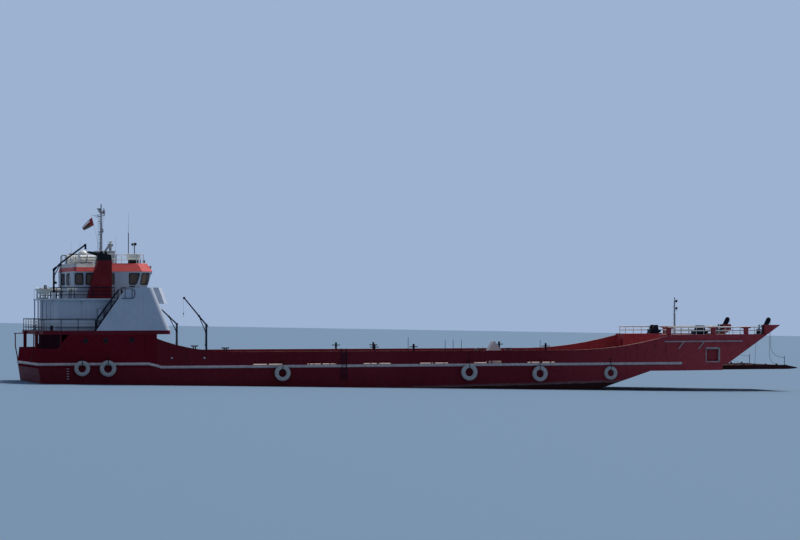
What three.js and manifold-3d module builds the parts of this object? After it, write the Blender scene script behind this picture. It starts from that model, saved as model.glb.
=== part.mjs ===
// Bow-ramp landing craft at half size: flat-bottomed cargo hull, stern house and lowered bow ramp.
// Millimetres of the half-size model, +Z up. Stations run forward (+X) from the waterline at the
// transom, starboard is -Y, and the group moves the stations so that the origin is under mid-length.
import * as THREE from 'three';
import { mergeVertices } from 'three/addons/utils/BufferGeometryUtils.js';
import Module from 'manifold-3d';

const wasm = await Module();
wasm.setup();

// Running gap between pieces that rest on each other.
const gap = 0.5;
const wall = 70;

// Hull: half breadths and stations of its plan, and heights above the flat bottom.
const halfBeam = 3500;
const sternHalfBeam = 3200;
const sternTaperX = 5000;
const bowTaperX = 29000;
const hornTipX = 34450;
const hornTipHalfBeam = 2700;
const deckZ = 1750;
const headlogX = 31400;
const headlogUndersideZ = 1440;
const apronX = 30850;
const apronEndZ = 1640;
const rakeFootX = 23290;
const rakeHeadX = 27750;
const cutUpFootX = 5600;
const cutUpHeadX = 2700;
const counterZ = 860;
const sternX = -230;
const transomFoot = [75, 900];
const transomKnuckle = [-75, 1925];
const transomHead = [0, 2600];
const deckPadHalf = 2200;
const deckPadThick = 12;

// Screws, skegs and rudders.
const screwY = 1700;
const shaftZ = 440;
const screwRadius = 355;
const skegAftX = 2350;
const bossAftX = 2200;
const bossRadius = 75;
const rudderStockX = 1500;

// Bulwarks and bow wings.
const bulwarkFootX = 5040;
const bulwarkZ = 2425;
const bulwarkAftZ = 3015;
const wingAftX = 28600;
const wingTopZ = 3075;
const wingInnerY = 2300;
const stemFootX = 31690;
const hornAftX = 33670;
const hornTopZ = 3500;

// Ramp, hinged at the headlog and lying level on the quay.
const rampTopZ = 1605;
const rampThick = 165;
const rampHalfWidth = 2240;
const rampAftX = 31510;
const rampEndX = 35050;
const rampToeX = 35480;
const rampPinX = 31450;
const rampPinZ = 1545;

// House tiers.
const deckBZ = 3365;
const deckBThick = 165;
const deckBAftX = 140;
const sternBarAftX = -250;
const deckBFrontX = 5680;
const deckCZ = 4755;
const deckCThick = 65;
const deckCAftX = 510;
const deckCFrontX = 4970;
const deckCHalf = 2950;
const deckCCorner = 600;
const screenTopZ = 5225;
const houseHalf = 2750;
const houseAftX = 850;
const houseFrontX = 4700;
const wheelHalf = 2250;
const wheelAftX = 1615;
const wheelSideEndX = 4275;
const wheelFrontX = 4780;
const wheelFrontHalf = 1825;
const wheelRake = 0.29;
const eaveZ = 5935;
const roofZ = 6290;

const red = [0x6e1a24, 0.6, 0.1];
const grey = [0x9c9fa6, 0.55, 0.2];
const houseGrey = [0xb9c4d2, 0.5, 0.1];
const white = [0xe8e8e4, 0.5, 0.1];
const navy = [0x1c2440, 0.5, 0.3];
const black = [0x16161a, 0.7, 0.1];
const orange = [0xc8473a, 0.5, 0.1];
const deckRed = [0x5a2a26, 0.8, 0.1];
const bronze = [0x8a6a3a, 0.4, 0.9];
const rubber = [0x9a9a98, 0.9, 0.0];
const glass = [0x8c7f6a, 0.1, 0.0];

const craft = new THREE.Group();
const originX = (rampToeX + sternBarAftX) / 2;
craft.position.x = -originX;

const sides = [['s', -1], ['p', 1]];

// Meshes and solids.

function solid(geometry) {
  const bare = geometry.clone();
  for (const name of Object.keys(bare.attributes)) {
    if (name !== 'position') bare.deleteAttribute(name);
  }
  const merged = mergeVertices(bare, 1e-3);
  return new wasm.Manifold(new wasm.Mesh({
    numProp: 3,
    vertProperties: new Float32Array(merged.attributes.position.array),
    triVerts: new Uint32Array(merged.index.array),
  }));
}

function geometryOf(body) {
  const mesh = body.getMesh();
  const geometry = new THREE.BufferGeometry();
  geometry.setAttribute('position', new THREE.BufferAttribute(mesh.vertProperties, 3));
  geometry.setIndex(new THREE.BufferAttribute(mesh.triVerts, 1));
  return geometry;
}

function join(...geometries) {
  return geometryOf(geometries.map(solid).reduce((sum, next) => sum.add(next)));
}

function cut(geometry, ...tools) {
  return geometryOf(tools.map(solid).reduce((rest, tool) => rest.subtract(tool), solid(geometry)));
}

function common(a, b) {
  return geometryOf(solid(a).intersect(solid(b)));
}

// The same piece on the other side of the centreline.
function mirrored(geometry) {
  const copy = mergeVertices(geometry.clone().deleteAttribute('normal').deleteAttribute('uv'), 1e-3);
  copy.scale(1, -1, 1);
  const index = copy.index.array;
  for (let i = 0; i < index.length; i += 3) {
    [index[i], index[i + 1]] = [index[i + 1], index[i]];
  }
  return copy;
}

function onSide(geometry, side) {
  return side < 0 ? geometry : mirrored(geometry);
}

function add(name, geometry, [color, roughness, metalness]) {
  const material = new THREE.MeshStandardMaterial({ color, roughness, metalness, flatShading: true });
  const mesh = new THREE.Mesh(geometry, material);
  mesh.name = name;
  craft.add(mesh);
}

function box(x0, x1, y0, y1, z0, z1) {
  const geometry = new THREE.BoxGeometry(x1 - x0, y1 - y0, z1 - z0);
  geometry.translate((x0 + x1) / 2, (y0 + y1) / 2, (z0 + z1) / 2);
  return geometry;
}

// A round bar from one point to another.
function bar(from, to, radius, sideCount = 6) {
  const a = new THREE.Vector3(...from);
  const b = new THREE.Vector3(...to);
  const geometry = new THREE.CylinderGeometry(radius, radius, a.distanceTo(b), sideCount);
  const turn = new THREE.Quaternion().setFromUnitVectors(
    new THREE.Vector3(0, 1, 0), b.clone().sub(a).normalize());
  geometry.applyQuaternion(turn);
  geometry.translate((a.x + b.x) / 2, (a.y + b.y) / 2, (a.z + b.z) / 2);
  return geometry;
}

function shapeOf(points) {
  return new THREE.Shape(points.map(([u, v]) => new THREE.Vector2(u, v)));
}

// A side view outline (X, Z) carried across from y0 to y1.
function acrossY(shape, y0, y1) {
  const outline = Array.isArray(shape) ? shapeOf(shape) : shape;
  const cut = { depth: y1 - y0, bevelEnabled: false, curveSegments: 8 };
  const geometry = new THREE.ExtrudeGeometry(outline, cut);
  geometry.rotateX(Math.PI / 2);
  geometry.translate(0, y1, 0);
  return rounded(geometry);
}

// A section outline (Y, Z) carried along from x0 to x1.
function acrossX(points, x0, x1) {
  const geometry = new THREE.ExtrudeGeometry(shapeOf(points), { depth: x1 - x0, bevelEnabled: false });
  geometry.rotateX(Math.PI / 2).rotateZ(Math.PI / 2);
  geometry.translate(x0, 0, 0);
  return rounded(geometry);
}

// A plan outline (X, Y) carried up from z0 to z1.
function upZ(points, z0, z1, hole = null) {
  const outline = shapeOf(points);
  if (hole) outline.holes.push(shapeOf(hole));
  const geometry = new THREE.ExtrudeGeometry(outline, { depth: z1 - z0, bevelEnabled: false });
  geometry.translate(0, 0, z0);
  return rounded(geometry);
}

// Coordinates on a 1/64 mm grid, so that shared corners stay shared.
function rounded(geometry) {
  const place = geometry.attributes.position;
  for (let i = 0; i < place.array.length; i += 1) {
    place.array[i] = Math.round(place.array[i] * 64) / 64;
  }
  return geometry;
}

// Moves each corner along X by shift(x, height above z0), and outward by flare for each unit of that.
function leaned(geometry, z0, shift, flare = 0) {
  const place = geometry.attributes.position;
  for (let i = 0; i < place.count; i += 1) {
    const move = shift(place.getX(i), place.getZ(i) - z0);
    place.setX(i, place.getX(i) + move);
    place.setY(i, place.getY(i) + Math.sign(place.getY(i)) * flare * move);
  }
  return rounded(geometry);
}

function bothSides(starboardPoints) {
  const port = starboardPoints.map(([x, y]) => [x, -y]).reverse();
  return [...starboardPoints, ...port];
}

// The hull's plan outline, moved out by a distance.
function plan(out) {
  return bothSides([
    [sternX - out, -(sternHalfBeam + out)],
    [sternTaperX, -(halfBeam + out)],
    [bowTaperX, -(halfBeam + out)],
    [hornTipX + 200, -(hornTipHalfBeam - 200 * bowTaper + out)],
  ]);
}

const bowTaper = (halfBeam - hornTipHalfBeam) / (hornTipX - bowTaperX);
const sternTaper = (halfBeam - sternHalfBeam) / (sternTaperX - sternX);

function halfBeamAt(x) {
  return halfBeam - Math.max(0, sternTaperX - x) * sternTaper - Math.max(0, x - bowTaperX) * bowTaper;
}

function planSolid(out, z0, z1) {
  return upZ(plan(out), z0, z1);
}

// A band that lies on the hull side within a side view outline.
function sideBand(outline, out) {
  const ring = cut(planSolid(out, 0, 4000), planSolid(gap, -10, 4010));
  return common(ring, acrossY(outline, -halfBeam - 200, -hornTipHalfBeam + 200));
}

// Hull with skegs, shaft bosses and ramp hinge lugs.

const rampHinges = [-1900, -650, 650, 1900];
const lugThick = 40;
const lugHalf = 38;
const barrelLength = 200;

function hullSolid() {
  const profile = [
    transomFoot, [cutUpHeadX, counterZ], [cutUpFootX, 0], [rakeFootX, 0],
    [rakeHeadX, headlogUndersideZ], [headlogX, headlogUndersideZ], [headlogX, deckZ],
    [transomX(deckZ), deckZ],
  ];
  const body = common(acrossY(profile, -halfBeam - 100, halfBeam + 100), planSolid(0, -100, 4000));
  const pastX = headlogX + 10;
  const pastZ = apronEndZ + (10 * (apronEndZ - deckZ)) / (headlogX - apronX);
  const overApron = acrossY([[apronX, deckZ], [pastX, pastZ], [pastX, deckZ + 50], [apronX, deckZ + 50]],
    -wingInnerY + 10, wingInnerY - 10);
  const pad = box(bulwarkFootX + 560, wingAftX - 300, -deckPadHalf, deckPadHalf,
    deckZ - 20, deckZ + deckPadThick);
  const skegs = sides.flatMap(([, side]) => {
    const skeg = acrossY([
      [skegAftX, shaftZ - bossRadius], [skegAftX + 500, 0], [cutUpFootX + 300, 0],
      [cutUpFootX + 300, 60], [cutUpHeadX, counterZ + 40], [skegAftX, counterZ + 40],
    ], side * screwY - 55, side * screwY + 55);
    const bossY = side * screwY;
    const boss = bar([bossAftX, bossY, shaftZ], [bossAftX + 700, bossY, shaftZ], bossRadius, 12);
    return [skeg, boss];
  });
  const lugs = rampHinges.flatMap((y) => [-1, 1].map((end) => {
    const inner = y + end * (barrelLength / 2 + gap);
    return box(headlogX - 60, rampPinX + lugHalf, Math.min(inner, inner + end * lugThick),
      Math.max(inner, inner + end * lugThick), rampPinZ - lugHalf, rampPinZ + lugHalf);
  }));
  const pins = rampHinges.map((y) => bar(
    [rampPinX, y - barrelLength / 2 - 20, rampPinZ],
    [rampPinX, y + barrelLength / 2 + 20, rampPinZ], 24, 12));
  return join(cut(body, overApron), pad, ...skegs, ...lugs, ...pins);
}

function transomX(z) {
  const [from, to] = z < transomKnuckle[1] ? [transomFoot, transomKnuckle] : [transomKnuckle, transomHead];
  return from[0] + ((z - from[1]) / (to[1] - from[1])) * (to[0] - from[0]);
}

// Screws and rudders.

function screwSolid(side) {
  const bladeCount = 4;
  const x = bossAftX - gap - 115;
  const pieces = [bar([x - 115, 0, 0], [x + 115, 0, 0], bossRadius - 5, 12)];
  for (let i = 0; i < bladeCount; i += 1) {
    const blade = upZ([[-105, 40], [-150, 190], [-95, screwRadius - 25], [20, screwRadius], [125, 270],
      [100, 40]], -13, 13);
    blade.rotateY(Math.PI / 2);
    blade.rotateY(side * 0.6);
    blade.rotateX((i * 2 * Math.PI) / bladeCount);
    blade.translate(x, 0, 0);
    pieces.push(rounded(blade));
  }
  const piece = join(...pieces);
  return rounded(piece.translate(0, side * screwY, shaftZ));
}

function rudderSolid(side) {
  const blade = upZ([
    [rudderStockX - 330, 0], [rudderStockX - 60, -34], [rudderStockX + 120, -34], [rudderStockX + 185, 0],
    [rudderStockX + 120, 34], [rudderStockX - 60, 34],
  ], 90, 790);
  const stock = bar([rudderStockX, 0, 700], [rudderStockX, 0, hullBottomAt(rudderStockX + 32) - gap], 32, 12);
  return join(blade, stock).translate(0, side * screwY, 0);
}

function hullBottomAt(x) {
  const along = (x - transomFoot[0]) / (cutUpHeadX - transomFoot[0]);
  return transomFoot[1] + along * (counterZ - transomFoot[1]);
}

// Bulwark with its two sweeps and the freeing ports.

const freeingPorts = [9955, 12385, 14935, 17530, 20020, 22535];
const bulwarkBitts = [14780, 16580, 22740];

const capThick = 24;
const capLipOut = 12;
const capLipIn = 15;
const stayThick = 12;
const stays = [
  5700, 6500, 8200, ...freeingPorts.flatMap((x) => [x - 690, x, x + 690]), 24200, 25300, 26400, 27500,
];

// The bulwark's side view, its top lowered by a drop and its ends and foot moved out by a margin.
function bulwarkOutline(drop, margin) {
  const outline = new THREE.Shape();
  outline.moveTo(bulwarkFootX + gap - margin, deckZ + gap - margin);
  outline.lineTo(wingAftX - gap + margin, deckZ + gap - margin);
  outline.lineTo(wingAftX - gap + margin, wingTopZ - 60 - drop);
  outline.lineTo(wingAftX - gap, wingTopZ - 60 - drop);
  outline.bezierCurveTo(27300, 2700 - drop, 26000, bulwarkZ + 5 - drop, 24100, bulwarkZ - 15 - drop);
  outline.lineTo(8400, bulwarkZ - drop);
  outline.bezierCurveTo(7300, 2435 - drop, 6150, 2590 - drop, bulwarkFootX + gap, bulwarkAftZ - drop);
  outline.lineTo(bulwarkFootX + gap - margin, bulwarkAftZ - drop);
  return outline;
}

function bulwarkSolid() {
  const slots = freeingPorts.flatMap((x) => [x - 655, x + 35].map((aft) => box(
    aft, aft + 620, -halfBeam - 50, -halfBeam + wall + 50, 1850, 1950)));
  const plate = cut(acrossY(bulwarkOutline(0, 0), -halfBeam, -halfBeam + wall), ...slots);
  const inside = -halfBeam + wall;
  const cap = cut(acrossY(bulwarkOutline(0, 0), -halfBeam - capLipOut, inside + capLipIn),
    acrossY(bulwarkOutline(capThick, 50), -halfBeam - 100, inside + 100));
  const bracket = [[inside - 5, deckZ + gap], [inside + 170, deckZ + gap], [inside + 10, bulwarkZ - 60],
    [inside - 5, bulwarkZ - 60]];
  const brackets = stays.map((x) => acrossX(bracket, x - stayThick / 2, x + stayThick / 2));
  const bitts = bulwarkBitts.flatMap((x) => [
    box(x - 40, x + 40, -halfBeam + 5, -halfBeam + 65, bulwarkZ - 60, bulwarkZ + 300),
    box(x - 190, x + 190, -halfBeam + 15, -halfBeam + 55, bulwarkZ + 150, bulwarkZ + 190),
  ]);
  const { x, y } = cargoDavit;
  const foot = bar([x, -y, deckZ + gap], [x, -y, deckZ + 260], 75, 12);
  return join(plate, cap, ...brackets, ...bitts, foot);
}

// Bow wing: box beside the ramp with a raked horn, a pocket, a doorway and its bitts.

// station of each bitt on the wing's outer edge
const wingBitts = { s: [28680, 30960, 32680], p: [30960] };
const wingBittTall = 330;
// the port horn stops short, just ahead of its sheave
const hornEndX = { s: hornTipX, p: 34045 };

function wingSolid(stations, endX) {
  const stemRise = (hornTopZ - deckZ) * ((endX - stemFootX) / (hornTipX - stemFootX));
  const shortEnd = endX < hornTipX ? [[endX, deckZ + stemRise]] : [];
  const profile = [
    [wingAftX, deckZ + gap], [stemFootX, deckZ + gap], ...shortEnd, [endX, hornTopZ],
    [hornAftX, hornTopZ], [hornAftX - 10, wingTopZ], [wingAftX, wingTopZ],
  ];
  const body = common(acrossY(profile, -halfBeam - 100, -wingInnerY), planSolid(0, 0, 4000));
  const pocket = box(30520, 31245, -halfBeam - 100, -3030, 1810, 2480);
  const doorway = box(wingAftX - 10, wingAftX + 160, -2900, -2520, 1850, 2800);
  const top = wingTopZ + wingBittTall;
  const bitts = stations.flatMap((x) => {
    const y = -halfBeamAt(x) + 130;
    return [
      box(x - 95, x + 95, y - 70, y + 70, wingTopZ - 20, top),
      box(x - 200, x + 200, y - 85, y + 85, top - 60, top),
    ];
  });
  return join(cut(body, pocket, doorway), ...bitts);
}

function wingFenderSolid() {
  const bars = [
    [[28420, 2735], [32425, 2735], [32425, 2795], [28420, 2795]],
    [[29050, 2420], [29110, 2420], [29410, 2765], [29350, 2765]],
    [[30100, 2420], [30160, 2420], [30460, 2765], [30400, 2765]],
  ];
  return join(...bars.map((outline) => sideBand(outline, 55)));
}

// Strake with the tyres that hang on it.

const strakeOut = 65;
const onStrake = strakeOut - 12;
const onPlating = 5;
// station, height, outer radius and standing out of each tyre
const tyres = [
  [1790, 1745, 330, onStrake], [2900, 1735, 350, onStrake], [10575, 1485, 345, onStrake],
  [19105, 1455, 365, onStrake], [22430, 1360, 345, onPlating], [25790, 1360, 300, onPlating],
];

// The strake runs round the transom too, so that each side's half ends on the centreline.
function strakeSolid() {
  const half = 62;
  const [knuckleX, knuckleZ] = transomKnuckle;
  const aftX = knuckleX - strakeOut;
  const outline = [
    [aftX, knuckleZ - half], [4675, knuckleZ - half], [5230, 1775 - half], [29250, 1775 - half],
    [29250, 1775 + half], [5230, 1775 + half], [4675, knuckleZ + half], [aftX, knuckleZ + half],
  ];
  const acrossTransom = acrossY([
    [aftX, knuckleZ - half], [transomX(knuckleZ - half) - gap, knuckleZ - half], [knuckleX - gap, knuckleZ],
    [transomX(knuckleZ + half) - gap, knuckleZ + half], [aftX, knuckleZ + half],
  ], -halfBeamAt(aftX) - strakeOut + 3, -gap / 2);
  return join(sideBand(outline, strakeOut), acrossTransom);
}

function tyreSolid(radius, width) {
  const bead = radius * 0.56;
  const profile = [
    [bead, -width * 0.3], [radius * 0.8, -width * 0.5], [radius, -width * 0.28],
    [radius, width * 0.28], [radius * 0.8, width * 0.5], [bead, width * 0.3], [bead, -width * 0.3],
  ];
  return new THREE.LatheGeometry(profile.map(([r, y]) => new THREE.Vector2(r, y)), 18);
}

function fenderLine() {
  const width = 190;
  const hung = tyres.flatMap(([x, z, radius, out]) => {
    const side = halfBeamAt(x);
    const tyreY = -(side + out + width / 2);
    const tyre = rounded(tyreSolid(radius, width).translate(x, tyreY, z));
    const chain = bar([x, -(side + strakeOut / 2), 1760], [x, tyreY, z + radius - 40], 16);
    return [tyre, chain];
  });
  return join(strakeSolid(), ...hung);
}

// Poop: side plating, transom bulwark and bulkheads under deck B.

const poopAftBulkheadX = 880;
const poopDoor = { near: 2225, far: 2600, foot: 1850, head: 2800 };

function poopSolid() {
  const top = deckBZ - deckBThick - gap;
  const base = deckZ + gap;
  const outline = [
    [transomX(base), base], [bulwarkFootX, base], [bulwarkFootX, top], [1245, top], [765, transomHead[1]],
    transomHead, transomKnuckle,
  ];
  const outer = common(acrossY(outline, -halfBeam - 100, halfBeam + 100), planSolid(0, 0, 4000));
  const inner = common(
    box(-400, 6000, -halfBeam, halfBeam, base - 10, top + 10), planSolid(-wall, 0, 4000));
  const behindTransom = acrossY([
    [transomX(base - 10) + wall, base - 10], [6000, base - 10], [6000, top + 10],
    [transomX(top + 10) + wall, top + 10], [transomKnuckle[0] + wall, transomKnuckle[1]],
  ], -halfBeam, halfBeam);
  const shell = cut(outer, common(inner, behindTransom));
  const bulkheadHalf = halfBeamAt(poopAftBulkheadX) - wall / 2;
  const front = cut(
    box(bulwarkFootX - wall, bulwarkFootX, -halfBeam + 5, halfBeam - 5, base, top),
    ...sides.map(([, side]) => box(bulwarkFootX - wall - 10, bulwarkFootX + 10,
      Math.min(side * poopDoor.near, side * poopDoor.far),
      Math.max(side * poopDoor.near, side * poopDoor.far),
      poopDoor.foot, poopDoor.head)));
  const aft = box(poopAftBulkheadX, poopAftBulkheadX + wall, -bulkheadHalf, bulkheadHalf, base, top);
  return join(shell, front, aft, ...sides.flatMap(([, side]) => poopDoorAt(side).blocks));
}

// Steel doors hung outside their openings. A door lies along one axis, from its hinge to its free
// edge, off a wall face that looks toward out.
const leafThick = 30;
const leafClear = 5;
const leafStart = 22;
const knuckleRadius = 16;
const knuckleLength = 100;

function doorAt(door) {
  const mid = door.face + door.out * (leafClear + leafThick / 2);
  const toward = Math.sign(door.free - door.hinge);
  const spot = (u, v, z) => (door.axis === 'x' ? [u, v, z] : [v, u, z]);
  const slab = (u0, u1, v0, v1, z0, z1) => {
    const [a, b, c, d] = [Math.min(u0, u1), Math.max(u0, u1), Math.min(v0, v1), Math.max(v0, v1)];
    return door.axis === 'x' ? box(a, b, c, d, z0, z1) : box(c, d, a, b, z0, z1);
  };
  const near = door.face + door.out * leafClear;
  const far = near + door.out * leafThick;
  const leaf = slab(door.hinge + toward * leafStart, door.free, near, far, door.foot, door.head);
  const heights = [door.foot + 150, door.head - 250];
  const knuckles = heights.flatMap((z) => [
    bar(spot(door.hinge, mid, z), spot(door.hinge, mid, z + knuckleLength), knuckleRadius, 10),
    slab(door.hinge, door.hinge + toward * (leafStart + 20), near + door.out * 5, far - door.out * 5,
      z, z + knuckleLength),
  ]);
  const blocks = heights.flatMap((z) => [
    [z - 50 - gap, z - gap], [z + knuckleLength + gap, z + knuckleLength + 50 + gap]])
    .flatMap(([z0, z1]) => [
      bar(spot(door.hinge, mid, z0), spot(door.hinge, mid, z1), knuckleRadius, 10),
      slab(door.hinge - 10, door.hinge + 10, door.face - door.out * 10, mid, z0, z1),
    ]);
  const window = door.window
    ? [slab(door.window[0], door.window[1], near - door.out * 20, far + door.out * 20, sill, head)]
    : [];
  return { leaf: cut(join(leaf, ...knuckles), ...window), blocks };
}

const leafLap = 15;
const sill = 5380;
const head = 5833;
const wheelDoor = { aft: 3225, fore: 3600, foot: 4800, head: 5880 };

function poopDoorAt(side) {
  return doorAt({
    axis: 'y', hinge: side * (poopDoor.near - leafLap - leafStart), free: side * (poopDoor.far + leafLap),
    face: bulwarkFootX, out: 1, foot: poopDoor.foot - leafLap, head: poopDoor.head + leafLap,
  });
}

function wheelDoorAt(side) {
  return doorAt({
    axis: 'x', hinge: wheelDoor.fore + leafLap + leafStart, free: wheelDoor.aft - leafLap,
    face: side * wheelHalf, out: side, foot: wheelDoor.foot - leafLap, head: wheelDoor.head + leafLap,
    window: [3270, 3385],
  });
}

// Decks.

// The rounded starboard corner of a plan outline, from the side to the front.
function frontCorner(front, side, radius) {
  return Array.from({ length: 6 }, (_, i) => {
    const angle = -Math.PI / 2 + (i / 5) * (Math.PI / 2);
    return [front - radius + radius * Math.cos(angle), -side + radius + radius * Math.sin(angle)];
  });
}

const screenCorner = 350;

function deckBSolid() {
  const outline = bothSides([
    [deckBAftX, -halfBeam - 50], [bulwarkFootX, -halfBeam - 50],
    ...frontCorner(deckBFrontX, halfBeam, screenCorner)]);
  const slab = common(planSolid(0, deckBZ - deckBThick, deckBZ), upZ(outline, deckBZ - 300, deckBZ + 100));
  const posts = sides.map(([, side]) => box(transomHead[0], transomHead[0] + 130,
    side * 1800 - 70, side * 1800 + 70, transomHead[1] + gap, deckBZ - 60));
  const head = sides.map(([, side]) => box(transomHead[0], deckBAftX + 200,
    side * 1800 - 60, side * 1800 + 60, deckBZ - 120, deckBZ - 50));
  const barZ = deckBZ - 150;
  const bars = sides.map(([, side]) => bar(
    [sternBarAftX, side * 3100, barZ], [600, side * 3100, barZ], 22, 8));
  return join(slab, ...posts, ...head, ...bars);
}

function deckCSolid() {
  const corner = Array.from({ length: 6 }, (_, i) => {
    const angle = Math.PI + (i / 5) * (Math.PI / 2);
    const across = -deckCHalf + deckCCorner * (1 + Math.sin(angle));
    return [deckCAftX + deckCCorner * (1 + Math.cos(angle)), across];
  });
  const outline = bothSides([
    ...corner, [3500, -deckCHalf],
    [3500, -3265], [4690, -3360], [4830, -3330], [4940, -3240], [deckCFrontX, -3100],
  ]);
  const slab = upZ(outline, deckCZ - deckCThick, deckCZ);
  // side distance and radius of each post under the aft edge
  const posts = [[-2350, 28], [-1250, 28], [0, 45], [1250, 28], [2350, 28]].map(([y, radius]) => bar(
    [deckCAftX + 60, y, deckBZ + gap], [deckCAftX + 60, y, deckCZ - 20], radius, 8));
  const foot = bar([boatDavit.x, boatDavit.y, deckCZ - 20], [boatDavit.x, boatDavit.y, deckCZ + 260], 75, 12);
  return join(slab, ...posts, foot);
}

function houseSolid() {
  const outer = bothSides([[houseAftX, -houseHalf], [houseFrontX, -houseHalf]]);
  const inner = bothSides([[houseAftX + wall, -houseHalf + wall], [houseFrontX - wall, -houseHalf + wall]]);
  const walls = upZ(outer, deckBZ + gap, deckCZ - deckCThick - gap, inner);
  return walls;
}

// Raked screen round the front of the house, from deck B to the bridge bulwark.

const screenFrontLean = 760 / (screenTopZ - deckBZ);
const screenAftLean = 1305 / (screenTopZ - deckBZ);
const screenAftX = 2420;
const screenAftHalf = 3350;
const screenFlare = (halfBeam - 2 - screenAftHalf) / (deckBFrontX - screenCorner - screenAftX);
const dodgerHalf = 2500;
const dodgerUndersideZ = 4525;

function screenSolid() {
  const ring = (inset) => {
    const corner = frontCorner(deckBFrontX - 2 - inset * 1.1, halfBeam - 2 - inset, screenCorner - inset);
    return [[screenAftX - (inset > 0 ? 10 : 0), -(screenAftHalf - inset)], ...corner];
  };
  const outer = bothSides(ring(0));
  const inner = bothSides(ring(wall));
  const z0 = deckBZ + gap;
  const shift = (x, height) => (x > 4000 ? -screenFrontLean * height : screenAftLean * height);
  const shell = cut(leaned(upZ(outer, z0, screenTopZ), z0, shift, screenFlare),
    leaned(upZ(inner, z0 - 20, screenTopZ + 20), z0, shift, screenFlare));
  return cut(shell, box(4000, 6000, -dodgerHalf - gap, dodgerHalf + gap, dodgerUndersideZ - gap, 5400));
}

function dodgerSolid() {
  const bulge = 500;
  const edgeX = 5550;
  const lean = -0.37;
  const steps = 10;
  const outline = (inset, backX) => {
    const arc = Array.from({ length: steps + 1 }, (_, i) => {
      const y = -(dodgerHalf - inset) + (i / steps) * 2 * (dodgerHalf - inset);
      return [edgeX - inset + bulge * (1 - (y / dodgerHalf) ** 2), y];
    });
    return [[backX, -(dodgerHalf - inset)], ...arc, [backX, dodgerHalf - inset]];
  };
  const shift = (x, height) => (x > 5100 ? lean * height : 0);
  const outer = leaned(upZ(outline(0, deckCFrontX + 10), dodgerUndersideZ, 5230), dodgerUndersideZ, shift);
  const inner = leaned(upZ(outline(60, deckCFrontX - 90), deckCZ, 5250), dodgerUndersideZ, shift);
  return cut(outer, inner);
}

// Wheelhouse with its windows and side doors.

function wheelOutline(inset) {
  const radius = 75;
  const corner = Array.from({ length: 5 }, (_, i) => {
    const angle = Math.PI + (i / 4) * (Math.PI / 2);
    return [wheelAftX + radius + (radius - inset) * Math.cos(angle),
      -wheelHalf + radius + (radius - inset) * Math.sin(angle)];
  });
  return bothSides([...corner,
    [wheelSideEndX - inset * wheelRake, -wheelHalf + inset],
    [wheelFrontX - inset, -wheelFrontHalf + inset * 0.5]]);
}

const wheelBase = deckCZ + gap;
const rakeShift = (x, height) => (x > 3900 ? wheelRake * height : 0);

function wheelhouseSolid() {
  const ring = leaned(upZ(wheelOutline(0), wheelBase, eaveZ - gap, wheelOutline(50)), wheelBase, rakeShift);
  const reach = wheelHalf + 100;
  // aft and forward edge at the sill, then forward edge at the head
  const sideWindows = [[1692, 2010, 2010], [2165, 2475, 2475], [4065, 4345, 4500]].map(
    ([aft, fore, foreHead]) => acrossY([[aft, sill], [fore, sill], [foreHead, head], [aft, head]],
      -reach, reach));
  const frontWindows = [-1, 0, 1].map((i) => box(4850, 5400, i * 1130 - 500, i * 1130 + 500, sill, head));
  const cornerWindows = sides.map(([, side]) => {
    const mid = [(wheelSideEndX + wheelFrontX) / 2 + wheelRake * ((sill + head) / 2 - deckCZ),
      side * (wheelHalf + wheelFrontHalf) / 2];
    const window = box(-235, 235, -130, 130, sill, head);
    window.rotateZ(side * Math.atan2(-(wheelHalf - wheelFrontHalf), wheelFrontX - wheelSideEndX));
    return rounded(window.translate(mid[0], mid[1], 0));
  });
  const aftWindows = [-750, 750].map((y) => box(
    wheelAftX - 100, wheelAftX + 100, y - 440, y + 440, sill, head));
  const doorways = box(wheelDoor.aft, wheelDoor.fore, -reach, reach, wheelDoor.foot, wheelDoor.head);
  const pierced = cut(ring, ...sideWindows, ...frontWindows, ...cornerWindows, ...aftWindows, doorways);
  return join(pierced, ...sides.flatMap(([, side]) => wheelDoorAt(side).blocks));
}

function glassSolid(front) {
  const z0 = sill - 40;
  const z1 = head + 40;
  const ring = leaned(
    upZ(wheelOutline(50 + gap), z0, z1, wheelOutline(68)), wheelBase, rakeShift);
  const half = front ? box(wheelDoor.fore + 20, 6000, -3000, 3000, z0 - 10, z1 + 10)
    : box(0, wheelDoor.aft - 20, -3000, 3000, z0 - 10, z1 + 10);
  return common(ring, half);
}

function roofSolid() {
  const lean = wheelRake * (eaveZ - wheelBase);
  const aftX = wheelAftX + 5;
  const foreX = wheelFrontX + lean + 30;
  const outline = bothSides([
    [aftX, -wheelHalf + 50], [aftX + 100, -wheelHalf - 50],
    [wheelSideEndX + lean, -wheelHalf - 50], [foreX, -wheelFrontHalf - 20],
  ]);
  const geometry = upZ(outline, eaveZ, roofZ);
  const place = geometry.attributes.position;
  // the top edge stands in from the eave
  const aftInset = 60;
  const foreInset = 220;
  for (let i = 0; i < place.count; i += 1) {
    if (place.getZ(i) > eaveZ + 1) {
      const along = (place.getX(i) - aftX) / (foreX - aftX);
      place.setX(i, place.getX(i) + aftInset * (1 - along) - foreInset * along);
      place.setY(i, place.getY(i) * 0.9);
    }
  }
  return rounded(geometry);
}

// Funnels.

const funnelInner = 2310;
const funnelOuter = 2850;
const funnelSplitZ = 6400;

function funnelSolid() {
  return acrossY([[2160, deckCZ + gap], [3185, deckCZ + gap], [3185, funnelSplitZ], [2590, funnelSplitZ]],
    -funnelOuter, -funnelInner);
}

// Black top with a hood that points aft.
function funnelTopSolid() {
  return acrossY([[2590, funnelSplitZ + gap], [3185, funnelSplitZ + gap], [3165, 6600], [3120, 6665],
    [2185, 6800], [2185, 6730], [2615, 6600]], -funnelOuter, -funnelInner);
}

// Inclined ladder from deck B to deck C, outboard of the deck edge.

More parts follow.
